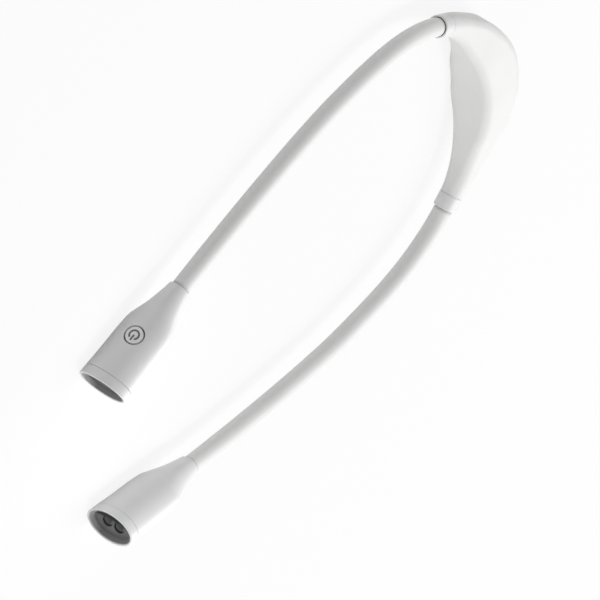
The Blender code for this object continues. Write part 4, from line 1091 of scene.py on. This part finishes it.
def make_lenses(side):
    """Two clear domes: a quarter ellipse turned about each lens's own axis, over a plain barrel."""
    head = HEADS[side]
    upward = 1.0 if head.y_axis[2] > 0 else -1.0
    turns = np.linspace(0, math.pi / 2, LENS_ROWS)
    profile = [(LENS_RADIUS * math.sin(a), LENS_TOP + LENS_DOME * (1 - math.cos(a))) for a in turns]
    profile += [(LENS_RADIUS, LENS_BACK), (0.0, LENS_BACK)]
    for place, sign in (("upper", upward), ("lower", -upward)):
        middle = head.place(0.0, sign * LENS_OFFSET, 0.0)
        shell = Shell()
        shell.grid(turned_rows(profile, LENS_SIDES, middle, head.x_axis, head.y_axis, head.t_axis))
        end = f"{place}_{side}"
        shell.rigid_piece(f"lens_{end}", "lens_plastic", f"led_lens_{end}", f"head_{side}")


# Button


def mark_amount(y, t):
    """How much of the power mark lies at a point of the button's face: an open ring and a short bar,
    by distance from their middle lines, with soft edges. The ring opens towards the mouth."""
    radius, angle = np.hypot(y, t), np.abs(np.arctan2(y, -t))
    ends = MARK_RADIUS * np.array((math.sin(MARK_GAP), -math.cos(MARK_GAP)))
    to_end = np.hypot(np.abs(y) - ends[0], t - ends[1])
    to_ring = np.where(angle > MARK_GAP, np.abs(radius - MARK_RADIUS), to_end)
    to_bar = np.hypot(y, t - np.clip(t, -MARK_BAR[1], -MARK_BAR[0]))
    apart = np.minimum(to_ring, to_bar)
    return softened(between(MARK_STROKE + MARK_SOFT / 2 - apart, 0, MARK_SOFT))


def make_button(side):
    """The button's cap: a round patch of the head's surface with a rounded edge, a straight wall, a flange
    and a post, and the power mark pressed into its face."""
    head = HEADS[side]
    angles = np.linspace(0, 2 * math.pi, BUTTON_COLUMNS, endpoint=False)
    face = np.linspace(0, BUTTON_RADIUS - BUTTON_EDGE, BUTTON_FACE_ROWS)
    edge_sunk, back = quarter_round(BUTTON_EDGE, FINE_EDGE_POINTS).T
    radii = np.concatenate([face, BUTTON_RADIUS - back[1:]])
    sunk = np.concatenate([np.zeros(BUTTON_FACE_ROWS), edge_sunk[1:]])
    y, t = radii[:, None] * np.cos(angles), radii[:, None] * np.sin(angles)
    height, width = head_sizes(BUTTON_STATION + t)
    marked = mark_amount(y, t)
    x = height * np.sqrt(1 - (y / width) ** 2) - sunk[:, None] - MARK_DEPTH * marked
    rows = head.place(x, y, BUTTON_STATION + t)
    flange, post = BUTTON_FLANGE_RADIUS, BUTTON_POST_RADIUS
    top, bottom, end = BUTTON_FLANGE_TOP, BUTTON_FLANGE_BOTTOM, BUTTON_POST_END
    below = ((BUTTON_RADIUS, top), (flange, top), (flange, bottom), (post, bottom), (post, end), (0.0, end))
    middle = head.place(0.0, 0.0, BUTTON_STATION)
    under = turned_rows(below, BUTTON_COLUMNS, middle, head.y_axis, head.t_axis, head.x_axis)
    # The mark's values on the face, then painted shade on the cap's wall, flange and post
    values = np.concatenate([marked, np.full(under.shape[:2], BUTTON_SIDE_PAINTED_SHADE)])
    shell = Shell()
    shell.grid(np.concatenate([rows, under]), values=values)
    name, node, body = f"button_top_{side}", f"button_cap_{side}", f"button_{side}"
    cap = shell.rigid_piece(name, "white_plastic", node, body, attribute="mark")
    cap.data.materials[0] = FINISHES["button_plastic"]


# Surroundings


def eye_or_light(tree, output):
    """Empties a node tree and ends it in a mix of two shaders, whose inputs it gives: the first is for the
    light's rays, and the second for the eye, that is for rays from the camera, a gloss or a clear piece."""
    tree.nodes.clear()
    path = tree.nodes.new("ShaderNodeLightPath")
    seen = path.outputs["Is Camera Ray"]
    for name in ("Is Glossy Ray", "Is Transmission Ray"):
        most = tree.nodes.new("ShaderNodeMath")
        most.operation = "MAXIMUM"
        tree.links.new(seen, most.inputs[0])
        tree.links.new(path.outputs[name], most.inputs[1])
        seen = most.outputs[0]
    both = tree.nodes.new("ShaderNodeMixShader")
    tree.links.new(seen, both.inputs[0])
    tree.links.new(both.outputs[0], tree.nodes.new(output).inputs["Surface"])
    return both.inputs[1], both.inputs[2]


def make_floor():
    """A wide level floor. The eye sees it nearly white with soft shadows, and to the light it is grey."""
    mesh = bpy.data.meshes.new("floor")
    turns = ((-1, -1), (1, -1), (1, 1), (-1, 1))
    corners = [(x * FLOOR_REACH, y * FLOOR_REACH, -FLOOR_DROP) for x, y in turns]
    mesh.from_pydata(corners, [], [(0, 1, 2, 3)])
    floor = bpy.data.objects.new("floor", mesh)
    bpy.context.scene.collection.objects.link(floor)
    material = bpy.data.materials.new("floor")
    material.use_nodes = True
    nodes, links = material.node_tree.nodes, material.node_tree.links
    to_light, to_eye = eye_or_light(material.node_tree, "ShaderNodeOutputMaterial")
    plain, pale = (nodes.new("ShaderNodeBsdfDiffuse") for _ in range(2))
    for shader, grey in ((plain, FLOOR_TINT), (pale, FLOOR_PALE)):
        shader.inputs["Color"].default_value = (grey, grey, grey, 1.0)
    shaded = nodes.new("ShaderNodeMixShader")
    shaded.inputs[0].default_value = FLOOR_SHADOW
    links.new(nodes.new("ShaderNodeEmission").outputs[0], shaded.inputs[1])
    links.new(pale.outputs[0], shaded.inputs[2])
    links.new(plain.outputs[0], to_light)
    links.new(shaded.outputs[0], to_eye)
    mesh.materials.append(material)
    floor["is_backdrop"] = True


def make_world():
    """White where the eye looks, and a low even light from all round."""
    world = bpy.data.worlds.new("studio")
    bpy.context.scene.world = world
    world.use_nodes = True
    to_light, to_eye = eye_or_light(world.node_tree, "ShaderNodeOutputWorld")
    for socket, strength in ((to_light, AMBIENT), (to_eye, 1.0)):
        background = world.node_tree.nodes.new("ShaderNodeBackground")
        background.inputs["Strength"].default_value = strength
        background.inputs["Color"].default_value = (1.0, 1.0, 1.0, 1.0)
        world.node_tree.links.new(background.outputs[0], socket)


def placed_lamp(name, kind, power, target, heading, distance):
    """A lamp at a distance from its target, turned to it."""
    data = bpy.data.lights.new(name, kind)
    data.energy = power
    lamp = bpy.data.objects.new(name, data)
    bpy.context.scene.collection.objects.link(lamp)
    back = Vector(unit(heading))
    lamp.location = Vector(target) + distance * back
    lamp.rotation_euler = (-back).to_track_quat("-Z", "Y").to_euler()
    return lamp


def make_lamps():
    """Square soft lamps, each turned to a point near the object's middle."""
    for name, (heading, distance, size, power) in LAMPS.items():
        lamp = placed_lamp(name, "AREA", power, LAMP_AIM, heading, distance)
        lamp.data.shape = "SQUARE"
        lamp.data.size = size
        lamp.visible_camera = False


def make_spot():
    """A soft spot nearly straight above the two heads."""
    lamp = placed_lamp("spot", "SPOT", SPOT_POWER, SPOT_AIM, SPOT_HEADING, SPOT_DISTANCE)
    lamp.data.spot_size = 2 * SPOT_SPREAD
    lamp.data.spot_blend = SPOT_BLEND
    lamp.data.shadow_soft_size = SPOT_SIZE


make_camera()
make_finishes()
dress_cad_nodes()
make_pod_cover()
for side in SIDES:
    make_collar(side)
    make_arm(side)
    make_head_shell(side)
    make_mouth_rim(side)
    make_face_plate(side)
    make_lenses(side)
    make_button(side)
make_floor()
make_world()
make_lamps()
make_spot()
bpy.context.scene.view_settings.view_transform = "Standard"

boxes = {"cad": cad_box, "visual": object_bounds()}
{name: [list(corner) for corner in box] for name, box in boxes.items()}
